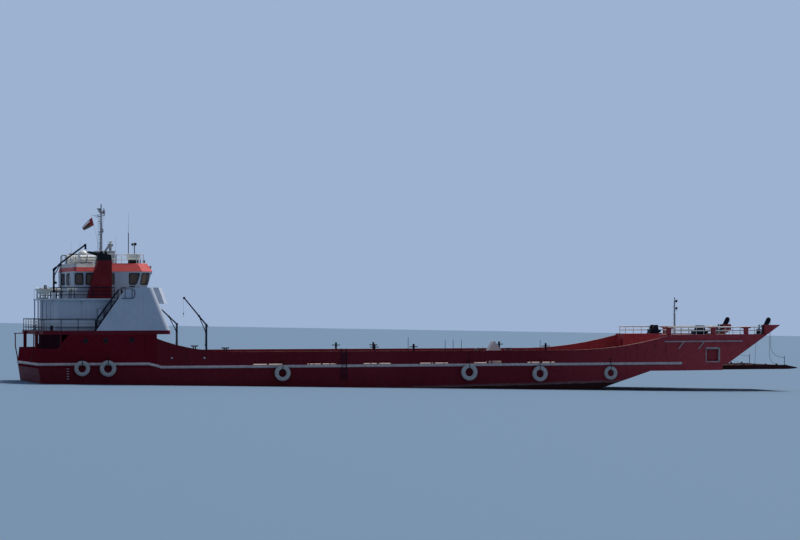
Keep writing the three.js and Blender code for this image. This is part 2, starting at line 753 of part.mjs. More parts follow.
function ladderSolid() {
  const foot = [2470, deckBZ + gap];
  const top = [3290, deckCZ];
  const inner = deckCHalf + 5;
  const outer = inner + 270;
  const stringers = [inner, outer - 20].map((y) => acrossY([
    [foot[0] - 50, foot[1]], [foot[0] + 50, foot[1]], [top[0] + 50, top[1]], [top[0] - 50, top[1]],
  ], -y - 20, -y));
  const treadCount = 9;
  const treads = Array.from({ length: treadCount }, (_, i) => {
    const t = (i + 1) / (treadCount + 0.6);
    const x = foot[0] + t * (top[0] - foot[0]);
    const z = foot[1] + t * (top[1] - foot[1]);
    return box(x - 55, x + 55, -outer + 5, -inner - 5, z - 8, z + 8);
  });
  return join(...stringers, ...treads);
}

// Rails: corner points, rail heights above the deck and stanchion spacing.

function railSolid(paths, deck, heights, spacing, radius) {
  const pieces = [];
  for (const path of paths) {
    for (let i = 0; i < path.length - 1; i += 1) {
      const [a, b] = [path[i], path[i + 1]];
      const length = Math.hypot(b[0] - a[0], b[1] - a[1]);
      const count = Math.max(1, Math.round(length / spacing));
      for (const height of heights) {
        pieces.push(bar([a[0], a[1], deck + height], [b[0], b[1], deck + height], radius, 4));
      }
      for (let k = i === 0 ? 0 : 1; k <= count; k += 1) {
        const x = a[0] + (k / count) * (b[0] - a[0]);
        const y = a[1] + (k / count) * (b[1] - a[1]);
        pieces.push(bar([x, y, deck + gap], [x, y, deck + Math.max(...heights) + radius], radius * 1.15, 4));
      }
    }
  }
  return join(...pieces);
}

const railRadius = 13;
const deckBRail = [[2380, -3300], [190, -3170], [190, 3170], [2380, 3300]];
const deckCRail = bothSides([[3280, -2910], [1400, -2910], [1000, -2720], [840, -2300]]);
const wingRail = [[28700, -3230], [bowTaperX, -3230], [33580, -2558]];
const roofRail = [
  [1760, -1930], [4430, -1930], [4800, -1560], [4800, 1560], [4430, 1930], [1760, 1930], [1760, -1930],
];

// Masts, lamps and roof fittings.

const mastX = 3190;

function mastSolid() {
  const pieces = [
    box(mastX - 260, mastX + 560, -330, 330, roofZ + gap, 6860),
    bar([mastX, 0, 6800], [mastX, 0, 8100], 60, 10),
    bar([mastX, 0, 8050], [mastX, 0, 8950], 42, 10),
    bar([mastX, -900, 8420], [mastX, 900, 8420], 22, 8),
    bar([mastX, 0, 8380], [mastX - 420, 0, 8460], 16, 6),
    box(mastX - 130, mastX + 170, -110, 110, 8600, 8630),
    box(mastX - 120, mastX + 120, -100, 100, 7700, 7730),
    bar([mastX + 410, 0, 6840], [mastX + 410, 0, 7080], 70, 10),
    box(mastX + 300, mastX + 520, -110, 110, 7060, 7180),
  ];
  return join(...pieces);
}

function scannerSolid() {
  return join(
    bar([mastX + 410, 0, 7180 + gap], [mastX + 410, 0, 7230], 45, 12),
    box(mastX + 370, mastX + 450, -320, 320, 7215, 7300));
}

const foremastPlace = [29150, -2900];

function foremastSolid() {
  const [x, y] = foremastPlace;
  return join(
    bar([x, y, wingTopZ + gap], [x, y, 4780], 34, 8),
    box(x - 100, x + 100, y - 100, y + 100, wingTopZ + gap, wingTopZ + 30),
    box(x - 20, x + 110, y - 50, y + 50, 4560, 4660),
    box(x - 20, x + 130, y - 60, y + 60, 4230, 4330));
}

function lockerSolid() {
  return join(
    box(4215, 4700, -1250, -550, roofZ + gap, 6700),
    bar([4520, -900, 6680], [4520, -900, 7080], 22, 8),
    bar([4450, -900, 7160], [4600, -900, 7160], 90, 12));
}

function domeSolid() {
  const radius = 260;
  const profile = [[0, 0], [radius, 0], [radius, 290], [radius * 0.87, 430], [radius * 0.5, 545], [0, 585]];
  const dome = new THREE.LatheGeometry(profile.map(([r, y]) => new THREE.Vector2(r, y)), 16);
  dome.rotateX(Math.PI / 2);
  return rounded(dome.translate(2195, -1250, roofZ + gap));
}

// Davits.

const cargoDavit = { x: 7240, y: 3360, top: 3630, reach: { s: 980, p: 1110 }, rise: { s: 1145, p: 1010 } };
const boatDavit = { x: 690, y: -2650, top: 6000 };

function cargoDavitSolid(tag) {
  const { x, y, top } = cargoDavit;
  const reach = cargoDavit.reach[tag];
  const rise = cargoDavit.rise[tag];
  return join(
    bar([x, -y, deckZ + 260 + gap], [x, -y, top], 45, 12),
    bar([x, -y, top - 30], [x - reach, -y, top + rise], 34, 8),
    bar([x, -y, top - 420], [x - reach * 0.33, -y, top + rise * 0.31], 24, 8),
    box(x - reach - 35, x - reach + 35, -y - 30, -y + 30, top + rise - 60, top + rise + 40));
}

function boatDavitSolid() {
  const { x, y, top } = boatDavit;
  return join(
    bar([x, y, deckCZ + 260 + gap], [x, y, top], 45, 12),
    bar([x, y, top - 20], [x + 310, y, top + 290], 40, 8),
    bar([x + 300, y, top + 280], [x + 1370, y, top + 1080], 36, 8),
    bar([x, y, top - 300], [x + 290, y, top + 240], 26, 8));
}

// Rescue boat on two chocks.

function rescueBoatSolid() {
  // a boat-shaped plan carried up, with the corners of its foot drawn in
  const boatShape = (half, end, z0, z1) => {
    const shape = upZ([[-half, -end * 0.7], [-half * 0.5, -end], [half * 0.5, -end], [half, -end * 0.7],
      [half, end * 0.5], [0, end], [-half, end * 0.5]], z0, z1);
    const place = shape.attributes.position;
    for (let i = 0; i < place.count; i += 1) {
      if (place.getZ(i) < z0 + 1) {
        place.setX(i, place.getX(i) * 0.7);
        place.setY(i, place.getY(i) * 0.9);
      }
    }
    return rounded(shape);
  };
  const chocks = [-500, 400].map((y) => box(40, 240, y - 40, y + 40, -200, 20));
  const boat = join(cut(boatShape(285, 975, 0, 260), boatShape(245, 930, 60, 265)), ...chocks);
  return rounded(boat.translate(488, -620, deckCZ + 200 + gap));
}

// Ramp with its hinge barrels and lifting lugs.

function rampSolid() {
  const top = rampTopZ;
  const plate = acrossY([
    [rampAftX, top - rampThick], [rampEndX, top - rampThick], [rampToeX, top - 130], [rampToeX, top - 90],
    [rampEndX, top], [rampAftX, top],
  ], -rampHalfWidth, rampHalfWidth);
  const barrels = rampHinges.flatMap((y) => [
    bar([rampPinX, y - barrelLength / 2, rampPinZ], [rampPinX, y + barrelLength / 2, rampPinZ], 42, 16),
    box(rampPinX + 10, rampAftX + 40, y - barrelLength / 2, y + barrelLength / 2,
      rampPinZ - 40, rampPinZ + 40),
  ]);
  const bores = rampHinges.map((y) => bar(
    [rampPinX, y - barrelLength, rampPinZ], [rampPinX, y + barrelLength, rampPinZ], 26, 16));
  const lugs = [32860, 33410, 33955, 34505].flatMap((x) => [-1, 1].map((side) => box(
    x - 40, x + 40, side * 2100 - 25, side * 2100 + 25, top - 20, top + 90)));
  return cut(join(plate, ...barrels, ...lugs), ...bores);
}

// Sheave posts and ramp winches on the bow wings.

function sheavePostSolid() {
  const x = hornAftX;
  const y = -2500;
  const z = hornTopZ + gap;
  return join(
    acrossY([[x + 30, z], [x + 255, z], [x + 370, z + 200], [x + 330, z + 300], [x + 200, z + 310],
      [x + 150, z + 250]], y - 50, y + 50),
    bar([x + 265, y - 70, z + 235], [x + 265, y + 70, z + 235], 110, 14));
}

// station of the ramp winch on each wing, half its length, and its outer side
const winches = { s: { x: 30480, half: 370, outer: 2950 }, p: { x: 30240, half: 280, outer: 2950 } };

function winchSolid({ x, half, outer }) {
  const z = wingTopZ + gap;
  const inner = wingInnerY + 50;
  return join(
    box(x - half, x + half, -outer, -inner, z, wingTopZ + 50),
    bar([x, -outer + 40, wingTopZ + 240], [x, -inner - 40, wingTopZ + 240], half * 0.38, 12),
    box(x - half / 2, x + half / 2, -outer + 20, -outer + 70, wingTopZ + 30, wingTopZ + 415),
    box(x - half / 2, x + half / 2, -inner - 70, -inner - 20, wingTopZ + 30, wingTopZ + 415));
}

// Vent hood on the cargo deck, with a ridge.

function ventHoodSolid() {
  return acrossY([[20330, deckZ + gap], [20900, deckZ + gap], [20900, 2430], [20600, 2820],
    [20560, 2820], [20330, 2430]], -2650, -2250);
}

function flagSolid() {
  const x = mastX - 421;
  return acrossY([[x, 8460], [x - 4, 8440], [x - 7, 8360], [x + 85, 8010], [x - 360, 7750], [x - 450, 7880],
    [x - 40, 8340]], -4, 4);
}

add('hull', hullSolid(), red);
for (const [tag, side] of sides) {
  add(`screw_${tag}`, screwSolid(side), bronze);
  add(`rudder_${tag}`, rudderSolid(side), red);
  add(`bulwark_${tag}`, onSide(bulwarkSolid(), side), red);
  add(`bow_wing_${tag}`, onSide(wingSolid(wingBitts[tag], hornEndX[tag]), side), red);
  add(`wing_fender_${tag}`, onSide(wingFenderSolid(), side), grey);
  add(`fender_line_${tag}`, onSide(fenderLine(), side), rubber);
  add(`funnel_${tag}`, onSide(funnelSolid(), side), red);
  add(`funnel_top_${tag}`, onSide(funnelTopSolid(), side), black);
  add(`ladder_${tag}`, onSide(ladderSolid(), side), navy);
  add(`sheave_post_${tag}`, onSide(sheavePostSolid(), side), navy);
  add(`ramp_winch_${tag}`, onSide(winchSolid(winches[tag]), side), navy);
  add(`cargo_davit_${tag}`, onSide(cargoDavitSolid(tag), side), navy);
  add(`wing_rail_${tag}`, onSide(railSolid([wingRail], wingTopZ, [170, 330], 760, railRadius), side), white);
  add(`poop_door_${tag}`, poopDoorAt(side).leaf, red);
  add(`wheel_door_${tag}`, wheelDoorAt(side).leaf, white);
}
add('ramp', rampSolid(), deckRed);
add('poop', poopSolid(), red);
add('deck_b', deckBSolid(), deckRed);
add('deck_c', deckCSolid(), deckRed);
add('house', houseSolid(), houseGrey);
add('screen', screenSolid(), houseGrey);
add('dodger', dodgerSolid(), white);
add('wheelhouse', wheelhouseSolid(), white);
add('glass_front', glassSolid(true), glass);
add('glass_aft', glassSolid(false), glass);
add('roof', roofSolid(), orange);
add('mast', mastSolid(), grey);
add('scanner', scannerSolid(), white);
add('foremast', foremastSolid(), grey);
add('roof_locker', lockerSolid(), white);
add('dome', domeSolid(), white);
add('boat_davit', boatDavitSolid(), navy);
add('rescue_boat', rescueBoatSolid(), white);
add('vent_hood', ventHoodSolid(), white);
add('flag', flagSolid(), white);
add('rail_b', railSolid([deckBRail], deckBZ, [320, 500], 760, railRadius), white);
add('rail_c', railSolid([deckCRail], deckCZ, [240, 470], 760, railRadius), navy);
add('rail_roof', railSolid([roofRail], roofZ, [200, 400], 800, railRadius), white);

export default craft;
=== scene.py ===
# Bow-ramp landing craft at half size: paint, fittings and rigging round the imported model.
# Metres, +Z up, +X forward, starboard is -Y. Stations run forward from the waterline at the transom.
from math import atan, atan2, cos, pi, radians, sin

import bmesh
import bpy
from mathutils import Matrix, Vector


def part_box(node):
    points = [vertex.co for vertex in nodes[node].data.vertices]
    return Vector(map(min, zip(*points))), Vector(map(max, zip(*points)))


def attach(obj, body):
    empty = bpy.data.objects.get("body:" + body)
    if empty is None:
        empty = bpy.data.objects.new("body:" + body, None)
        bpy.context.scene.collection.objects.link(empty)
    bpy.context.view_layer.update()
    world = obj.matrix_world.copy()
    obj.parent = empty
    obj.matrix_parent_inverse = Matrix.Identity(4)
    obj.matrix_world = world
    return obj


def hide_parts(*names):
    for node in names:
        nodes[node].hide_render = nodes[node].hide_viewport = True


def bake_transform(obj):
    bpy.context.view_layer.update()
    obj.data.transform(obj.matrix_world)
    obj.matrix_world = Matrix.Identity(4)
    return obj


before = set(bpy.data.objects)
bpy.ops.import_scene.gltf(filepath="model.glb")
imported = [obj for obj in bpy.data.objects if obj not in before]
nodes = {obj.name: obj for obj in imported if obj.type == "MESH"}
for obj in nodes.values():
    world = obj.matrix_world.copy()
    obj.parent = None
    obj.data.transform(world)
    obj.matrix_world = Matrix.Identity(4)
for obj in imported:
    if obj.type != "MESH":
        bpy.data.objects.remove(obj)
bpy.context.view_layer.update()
scene = bpy.context.scene
sides = (("s", -1), ("p", 1))
print("frame:", len(nodes), "nodes")

# Places taken from the frame.
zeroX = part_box("deck_b")[0].x + 0.25  # station 0, the transom at the waterline
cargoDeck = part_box("bulwark_s")[0].z
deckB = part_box("deck_b")[1].z
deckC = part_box("wheelhouse")[0].z
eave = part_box("roof")[0].z
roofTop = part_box("roof")[1].z
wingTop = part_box("ramp_winch_s")[0].z
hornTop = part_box("sheave_post_s")[0].z
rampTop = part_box("ramp")[1].z - 0.09
waterline = {"heightAtMid": 0.7477, "slope": -0.02}  # the craft floats deeper aft
hullPlan = {"half": 3.5, "sternHalf": 3.2, "sternTaperEnd": 5.0, "transom": -0.23,
            "bowTaperStart": 29.0, "tipHalf": 2.7, "tip": 34.45}


def at(station):
    return zeroX + station


def breadthAt(station):  # half breadth of the side plating
    p = hullPlan
    stern = max(0, p["sternTaperEnd"] - station) * (p["half"] - p["sternHalf"])
    stern /= p["sternTaperEnd"] - p["transom"]
    bow = max(0, station - p["bowTaperStart"]) * (p["half"] - p["tipHalf"])
    bow /= p["tip"] - p["bowTaperStart"]
    return p["half"] - stern - bow


# Camera, at the photograph's angle.
view = {"eye": (-34.921, -123.417, 4.369), "yaw": 15.5, "pitch": 0.750, "roll": -0.115, "lens": 126.45}


def makeCamera():
    data = bpy.data.cameras.new("camera")
    data.lens = view["lens"]
    data.sensor_width = 36
    data.clip_start = 1
    data.clip_end = 3000
    camera = bpy.data.objects.new("camera", data)
    turn = (Matrix.Rotation(radians(-view["yaw"]), 4, "Z")
            @ Matrix.Rotation(radians(90 + view["pitch"]), 4, "X")
            @ Matrix.Rotation(radians(view["roll"]), 4, "Z"))
    camera.matrix_world = Matrix.Translation(view["eye"]) @ turn
    scene.collection.objects.link(camera)
    scene.camera = camera


makeCamera()
print("camera set")


# Materials.

def linear(hexColour):
    parts = [int(hexColour[i:i + 2], 16) / 255 for i in (1, 3, 5)]
    return [c / 12.92 if c <= 0.04045 else ((c + 0.055) / 1.055) ** 2.4 for c in parts] + [1.0]


def addNode(tree, kind, values=None, links=None, **settings):
    node = tree.nodes.new(kind)
    for name, value in settings.items():
        setattr(node, name, value)
    connect(tree, node, values, links)
    return node


def connect(tree, node, values, links):
    for key, value in (values or {}).items():
        node.inputs[key].default_value = value
    for key, source in (links or {}).items():
        tree.links.new(source, node.inputs[key])


def newMaterial(name):
    material = bpy.data.materials.new(name)
    material.use_nodes = True
    tree = material.node_tree
    shader = tree.nodes["Principled BSDF"]
    coords = addNode(tree, "ShaderNodeTexCoord").outputs["Object"]
    return material, tree, shader, coords


def patches(tree, coords, size, low, high, detail=6.0, stretch=(1, 1, 1), roughness=0.55):
    # a 0 to 1 mask of noise whose blotches are about size metres across
    place = addNode(tree, "ShaderNodeMapping", {"Scale": stretch}, {"Vector": coords})
    cloud = addNode(tree, "ShaderNodeTexNoise", {"Scale": 1 / size, "Detail": detail, "Roughness": roughness},
                    {"Vector": place.outputs[0]})
    return addNode(tree, "ShaderNodeMapRange", {"From Min": low, "From Max": high},
                   {"Value": cloud.outputs["Fac"]}, clamp=True).outputs["Result"]


def mixColour(tree, mask, below, above, amount=1.0):
    if amount != 1.0:
        mask = addNode(tree, "ShaderNodeMath", {1: amount}, {0: mask}, operation="MULTIPLY").outputs[0]
    node = addNode(tree, "ShaderNodeMix", None, {"Factor": mask}, data_type="RGBA")
    for key, colour in ((6, below), (7, above)):
        if isinstance(colour, str):
            node.inputs[key].default_value = linear(colour)
        else:
            tree.links.new(colour, node.inputs[key])
    return node.outputs[2]


def shipPaint(name, look):
    # Brushed and rolled alkyd over steel plate: faded in patches, streaked by rain, rusting at scratches.
    material, tree, shader, coords = newMaterial(name)
    fade = patches(tree, coords, look.get("fadeSize", 2.2), 0.38, 0.68)
    colour = mixColour(tree, fade, look["base"], look["faded"])
    # painted light: towards the bow the plating turns to a lighter red, standing in for the extra light
    # falling on the bow plates
    if "bow" in look:
        ahead = addNode(tree, "ShaderNodeSeparateXYZ", None, {0: coords}).outputs["X"]
        bowLightMask = addNode(tree, "ShaderNodeMapRange",
                          {"From Min": at(bowLightSpan[0]), "From Max": at(bowLightSpan[1])}, {"Value": ahead},
                          clamp=True).outputs[0]
        colour = mixColour(tree, bowLightMask, colour, look["bow"])
    mottle = patches(tree, coords, 0.16, 0.35, 0.75, 8)
    colour = mixColour(tree, mottle, colour, look["dirt"], look.get("mottle", 0.25))
    runs = patches(tree, coords, 0.11, look.get("runsFrom", 0.56), 0.74, 5, (1, 1, 0.07))
    upper = patches(tree, coords, 1.4, 0.42, 0.6)
    runs = addNode(tree, "ShaderNodeMath", None, {0: runs, 1: upper}, operation="MULTIPLY").outputs[0]
    colour = mixColour(tree, runs, colour, look["runs"], look.get("runsAmount", 0.5))
    spots = patches(tree, coords, 0.045, 0.66, 0.72, 10, (1, 1, 1), 0.7)
    area = patches(tree, coords, 0.9, 0.5, 0.62)
    spots = addNode(tree, "ShaderNodeMath", None, {0: spots, 1: area}, operation="MULTIPLY").outputs[0]
    colour = mixColour(tree, spots, colour, rustSpots, look.get("rust", 0.7))
    if "waterTop" in look:
        colour = wetBand(tree, coords, colour, look)
    # other paint in a band, and painted shade on the bulwark tops and on the poop's aft bulkhead
    if "pale" in look:
        colour = paintOrShadeBand(tree, coords, mottle, colour, look["pale"])
    # deck paint on the upward faces, and a painted highlight on the bulwark caps
    if "top" in look:
        colour = deckPaintOrCapHighlight(tree, coords, mottle, colour, look["top"])
    rough = addNode(tree, "ShaderNodeMapRange", {"To Min": look["rough"], "To Max": look["rough"] + 0.22},
                    {"Value": mottle})
    height = addNode(tree, "ShaderNodeMath", {1: 0.4}, {0: mottle, 2: spots},
                     operation="MULTIPLY_ADD").outputs[0]
    bump = addNode(tree, "ShaderNodeBump", {"Strength": 0.35, "Distance": 0.004}, {"Height": height})
    normal = bump.outputs["Normal"]
    if "seams" in look:
        normal = weldSeams(tree, coords, normal, look["seams"])
    connect(tree, shader, {"IOR": 1.5, "Specular IOR Level": look.get("gloss", 0.4)},
            {"Base Color": colour, "Roughness": rough.outputs[0], "Normal": normal})
    return material


def deckPaintOrCapHighlight(tree, coords, mottle, colour, top):
    # a second paint on the faces that look up, above a height in metres: decks are walked on and gritty; on
    # the bulwark caps it is a painted highlight with wear and stains in it
    normal = addNode(tree, "ShaderNodeNewGeometry").outputs["Normal"]
    upward = addNode(tree, "ShaderNodeSeparateXYZ", None, {0: normal}).outputs["Z"]
    level = addNode(tree, "ShaderNodeMath", {1: 0.8}, {0: upward}, operation="GREATER_THAN").outputs[0]
    height = addNode(tree, "ShaderNodeSeparateXYZ", None, {0: coords}).outputs["Z"]
    high = addNode(tree, "ShaderNodeMath", {1: top["above"]}, {0: height},
                   operation="GREATER_THAN").outputs[0]
    mask = addNode(tree, "ShaderNodeMath", None, {0: level, 1: high}, operation="MULTIPLY").outputs[0]
    deckOrHighlightColour = mixColour(tree, mottle, top["base"], top["worn"], 0.7)
    stains = patches(tree, coords, 0.5, 0.45, 0.7, 7)
    deckOrHighlightColour = mixColour(tree, stains, deckOrHighlightColour, top["stain"], 0.6)
    return mixColour(tree, mask, colour, deckOrHighlightColour)


def paintOrShadeBand(tree, coords, mottle, colour, pale):
    # a band above one height, aft of one station and, where it says so, ahead of another: other paint on the
    # fascia, painted shade on the bulwark tops and on the poop's aft bulkhead
    parts = addNode(tree, "ShaderNodeSeparateXYZ", None, {0: coords}).outputs
    high = addNode(tree, "ShaderNodeMath", {1: pale["above"]}, {0: parts["Z"]},
                   operation="GREATER_THAN").outputs[0]
    aft = addNode(tree, "ShaderNodeMath", {1: at(pale["ahead"])}, {0: parts["X"]},
                  operation="LESS_THAN").outputs[0]
    mask = addNode(tree, "ShaderNodeMath", None, {0: high, 1: aft}, operation="MULTIPLY").outputs[0]
    if "behind" in pale:
        fore = addNode(tree, "ShaderNodeMath", {1: at(pale["behind"])}, {0: parts["X"]},
                       operation="GREATER_THAN")
        mask = addNode(tree, "ShaderNodeMath", None, {0: mask, 1: fore.outputs[0]},
                       operation="MULTIPLY").outputs[0]
    return mixColour(tree, mask, colour, mixColour(tree, mottle, pale["base"], pale["worn"]))


def wetBand(tree, coords, colour, look):
    # salt and weed just above the waterline, and antifouling below it, both level with the tilted water
    turned = addNode(tree, "ShaderNodeMapping", {"Rotation": (0, -atan(waterline["slope"]), 0)},
                     {"Vector": coords})
    height = addNode(tree, "ShaderNodeSeparateXYZ", None, {0: turned.outputs[0]}).outputs["Z"]
    ragged = patches(tree, coords, 0.3, 0.3, 0.7, 6, (1, 1, 2))
    height = addNode(tree, "ShaderNodeMath", {1: -0.05}, {0: ragged, 2: height},
                     operation="MULTIPLY_ADD").outputs[0]
    level = waterline["heightAtMid"]
    band = addNode(tree, "ShaderNodeMapRange",
                   {"From Min": level + look["waterTop"], "From Max": level + 0.02}, {"Value": height},
                   clamp=True).outputs[0]
    colour = mixColour(tree, band, colour, look["salt"], 0.75)
    below = addNode(tree, "ShaderNodeMapRange", {"From Min": level + 0.012, "From Max": level - 0.01},
                    {"Value": height}, clamp=True).outputs[0]
    return mixColour(tree, below, colour, look["antifouling"])


def weldSeams(tree, coords, normal, seams):
    # butt and seam welds of the plating, and the slight hollows between frames
    turn = (radians(90), 0, 0) if seams["upright"] else (0, 0, 0)
    place = addNode(tree, "ShaderNodeMapping", {"Rotation": turn}, {"Vector": coords})
    plates = addNode(tree, "ShaderNodeTexBrick",
                     {"Scale": 1.0, "Mortar Size": 0.008, "Mortar Smooth": 0.6, "Brick Width": seams["long"],
                      "Row Height": seams["wide"]}, {"Vector": place.outputs[0]})
    beads = addNode(tree, "ShaderNodeBump", {"Strength": 0.5, "Distance": 0.006},
                    {"Height": plates.outputs["Fac"], "Normal": normal})
    frames = addNode(tree, "ShaderNodeTexWave",
                     {"Scale": 0.31 / seams["frames"], "Distortion": 1.2, "Detail": 1.0, "Detail Scale": 0.4},
                     {"Vector": coords}, wave_type="BANDS", bands_direction="X")
    return addNode(tree, "ShaderNodeBump", {"Strength": 0.25, "Distance": 0.012},
                   {"Height": frames.outputs["Fac"], "Normal": beads.outputs["Normal"]}).outputs["Normal"]


rustSpots = "#5a3018"
# painted light: the bow's lighter red stands in for light on the bow plates
bowLightSpan = (22.0, 30.5)  # stations between which the plating turns to the bow's lighter red
hullSeams = {"upright": True, "long": 3.0, "wide": 0.75, "frames": 0.31}
deckSeams = {"upright": False, "long": 3.0, "wide": 0.9, "frames": 0.31}
redDeck = {"above": 1.4, "base": "#a08f86", "worn": "#b0a49b", "stain": "#7a5d54"}
paleDeck = {"above": 4.7, "base": "#8d9694", "worn": "#a6aba5", "stain": "#6d6a66"}
# the "bow" colour is painted light on the bow plating; the other colours are the hull's own paint, dirt, rain
# runs, salt and antifouling
redPlate = {"bow": "#b2444a", "base": "#701823", "faded": "#761e2a", "dirt": "#420e17", "runs": "#2a0a10",
            "rough": 0.55, "gloss": 0.12, "runsAmount": 0.55, "seams": hullSeams, "waterTop": 0.13,
            "salt": "#7d6f6c", "antifouling": "#3a1a18"}
paints = {
    "hullPaint": redPlate,
    # painted highlight: the caps' upward faces above 1.8 m are pale pink as if sunlit, with wear and stains
    # in it
    "bulwarkPaint": {**redPlate, "top": {"above": 1.8, "base": "#c2a297", "worn": "#a37f76",
                                         "stain": "#8a5a52"},
                     # painted shade: a near-black band on the bulwark tops above 2.46 m between stations 13
                     # and 23.6
                     "pale": {"above": 2.46, "behind": 13.0, "ahead": 23.6, "base": "#15131c",
                              "worn": "#1f1a22"}},
    "deckedHullPaint": {**redPlate, "top": redDeck},
    # painted shade: dark red on the poop's aft bulkhead above 2.5 m, between stations 0.87 and 0.89, where it
    # is recessed
    "poopPaint": {**redPlate, "gloss": 0.0, "pale": {"above": 2.5, "behind": 0.87, "ahead": 0.89,
                                                     "base": "#4a2630", "worn": "#55303a"}},
    # the ramp keeps its own dark red where the hull turns to the painted bow light
    "rampPaint": {**redPlate, "bow": "#3a181a", "base": "#3a181a", "faded": "#44211f", "seams": deckSeams,
                  "top": {"above": 1.0, "base": "#4a332d", "worn": "#5e463d", "stain": "#332925"}},
    "deckPaint": {"base": "#6b3a30", "faded": "#84584a", "dirt": "#4a3b34", "runs": "#54443c", "rough": 0.75,
                  "mottle": 0.55, "rust": 0.9, "seams": deckSeams},
    "fenderPaint": {"base": "#d6c6c0", "faded": "#ded3cd", "dirt": "#7c787a", "runs": "#5b4a44",
                    "rough": 0.55, "fadeSize": 0.9, "mottle": 0.5},
    "barPaint": {"base": "#b59a98", "faded": "#c2aca9", "dirt": "#6a5c5e", "runs": "#5b3a38", "rough": 0.6,
                 "fadeSize": 0.6, "mottle": 0.5},
    "housePaint": {"base": "#b9c3cf", "faded": "#c9d0d8", "dirt": "#98a0aa", "runs": "#8a7d74", "rough": 0.42,
                   "runsAmount": 0.35, "mottle": 0.2, "rust": 0.35},
    "edgePaint": {"base": "#c3c9ce", "faded": "#d2d5d6", "dirt": "#9a9c9e", "runs": "#8a7d74", "rough": 0.5,
                  "runsAmount": 0.5, "mottle": 0.35, "top": paleDeck},
    "fasciaPaint": {"pale": {"above": 6.12, "ahead": 3.2, "base": "#cfcdca", "worn": "#b0a9a4"},
                    "base": "#c92c2e", "faded": "#d64643", "dirt": "#a33430", "runs": "#8c2a28", "rough": 0.5,
                    "fadeSize": 0.8, "top": {**paleDeck, "base": "#c9ccc8", "worn": "#b4b5b0"}},
    "funnelPaint": {"base": "#7a1018", "faded": "#861a20", "dirt": "#560c13", "runs": "#2e1014", "rough": 0.5,
                    "gloss": 0.25, "fadeSize": 0.9,
                    "seams": {"upright": True, "long": 2.0, "wide": 0.6, "frames": 0.4}},
    # black for soot and black paint, and as painted shadow under the roof locker
    "sootAndShadowBlack": {"base": "#121318", "faded": "#1d1d22", "dirt": "#2a2524", "runs": "#0b0b0d", "rough": 0.8},
    "davitPaint": {"base": "#0d1228", "faded": "#141b36", "dirt": "#0a0d18", "runs": "#1f1715", "rough": 0.5,
                   "gloss": 0.2, "fadeSize": 0.5},
    "mastPaint": {"base": "#a4a8ae", "faded": "#b4b7ba", "dirt": "#7c7e82", "runs": "#7a5a48", "rough": 0.5,
                  "fadeSize": 0.5},
    "railPaint": {"base": "#d9dad6", "faded": "#e6e5de", "dirt": "#a8a39a", "runs": "#8a5a3c", "rough": 0.45,
                  "fadeSize": 0.5, "runsFrom": 0.6},
}


def sunTyreRubber():
    # Old truck tyre, brushed over with grey paint that has chalked: dark only where it has rubbed off.
    material, tree, shader, coords = newMaterial("chalkedTyreRubber")
    chalk = patches(tree, coords, 0.07, 0.36, 0.6, 8)
    colour = mixColour(tree, chalk, "#adaaa6", "#c2beb8")
    worn = patches(tree, coords, 0.035, 0.62, 0.7, 8)
    colour = mixColour(tree, worn, colour, "#2f3236", 0.7)
    bump = addNode(tree, "ShaderNodeBump", {"Strength": 0.4, "Distance": 0.003}, {"Height": chalk})
    connect(tree, shader, {"Roughness": 0.9}, {"Base Color": colour, "Normal": bump.outputs[0]})
    return material


def windowGlass():
    # Toughened glass with brown sun film: a dark mirror that still lets the cabin through a little.
    material, tree, shader, coords = newMaterial("filmedWindowGlass")
    salt = patches(tree, coords, 0.22, 0.35, 0.8, 6, (1, 1, 0.4))
    colour = mixColour(tree, salt, "#7d6350", "#a08a74", 0.6)
    rough = addNode(tree, "ShaderNodeMapRange", {"To Min": 0.05, "To Max": 0.22}, {"Value": salt})
    connect(tree, shader, {"IOR": 1.5, "Transmission Weight": 0.35},
            {"Base Color": colour, "Roughness": rough.outputs[0]})
    return material


def gelcoat():
    # Glass-fibre gelcoat gone chalky and faintly yellow in the sun.
    material, tree, shader, coords = newMaterial("agedGelcoat")
    chalk = patches(tree, coords, 0.25, 0.35, 0.7, 6)
    colour = mixColour(tree, chalk, "#dcdbcf", "#e8e7df")
    grime = patches(tree, coords, 0.05, 0.55, 0.75, 8, (1, 1, 0.2))
    colour = mixColour(tree, grime, colour, "#a79f90", 0.5)
    connect(tree, shader, {"Roughness": 0.38, "Coat Weight": 0.15}, {"Base Color": colour})
    return material


def bunting():
    # Woven polyester bunting: white, red and green bands with a red band at the hoist.
    material, tree, shader, _ = newMaterial("wovenBunting")
    grid = addNode(tree, "ShaderNodeUVMap", uv_map="cut")
    parts = addNode(tree, "ShaderNodeSeparateXYZ", None, {0: grid.outputs[0]})
    across = addNode(tree, "ShaderNodeValToRGB", None, {0: parts.outputs["Y"]})
    across.color_ramp.interpolation = "CONSTANT"
    bands = across.color_ramp.elements
    bands[0].position, bands[0].color = 0, linear("#2b5a3a")
    bands[1].position, bands[1].color = 0.34, linear("#a5323a")
    top = bands.new(0.67)
    top.color = linear("#e4e2dc")
    hoist = addNode(tree, "ShaderNodeMath", {1: 0.27}, {0: parts.outputs["X"]}, operation="LESS_THAN")
    colour = mixColour(tree, hoist.outputs[0], across.outputs[0], "#a5323a")
    weave = addNode(tree, "ShaderNodeTexChecker", {"Scale": 260.0}, {"Vector": grid.outputs[0]})
    bump = addNode(tree, "ShaderNodeBump", {"Strength": 0.2, "Distance": 0.0008},
                   {"Height": weave.outputs["Fac"]})
    connect(tree, shader, {"Roughness": 0.85, "Sheen Weight": 0.3},
            {"Base Color": colour, "Normal": bump.outputs[0]})
    return material


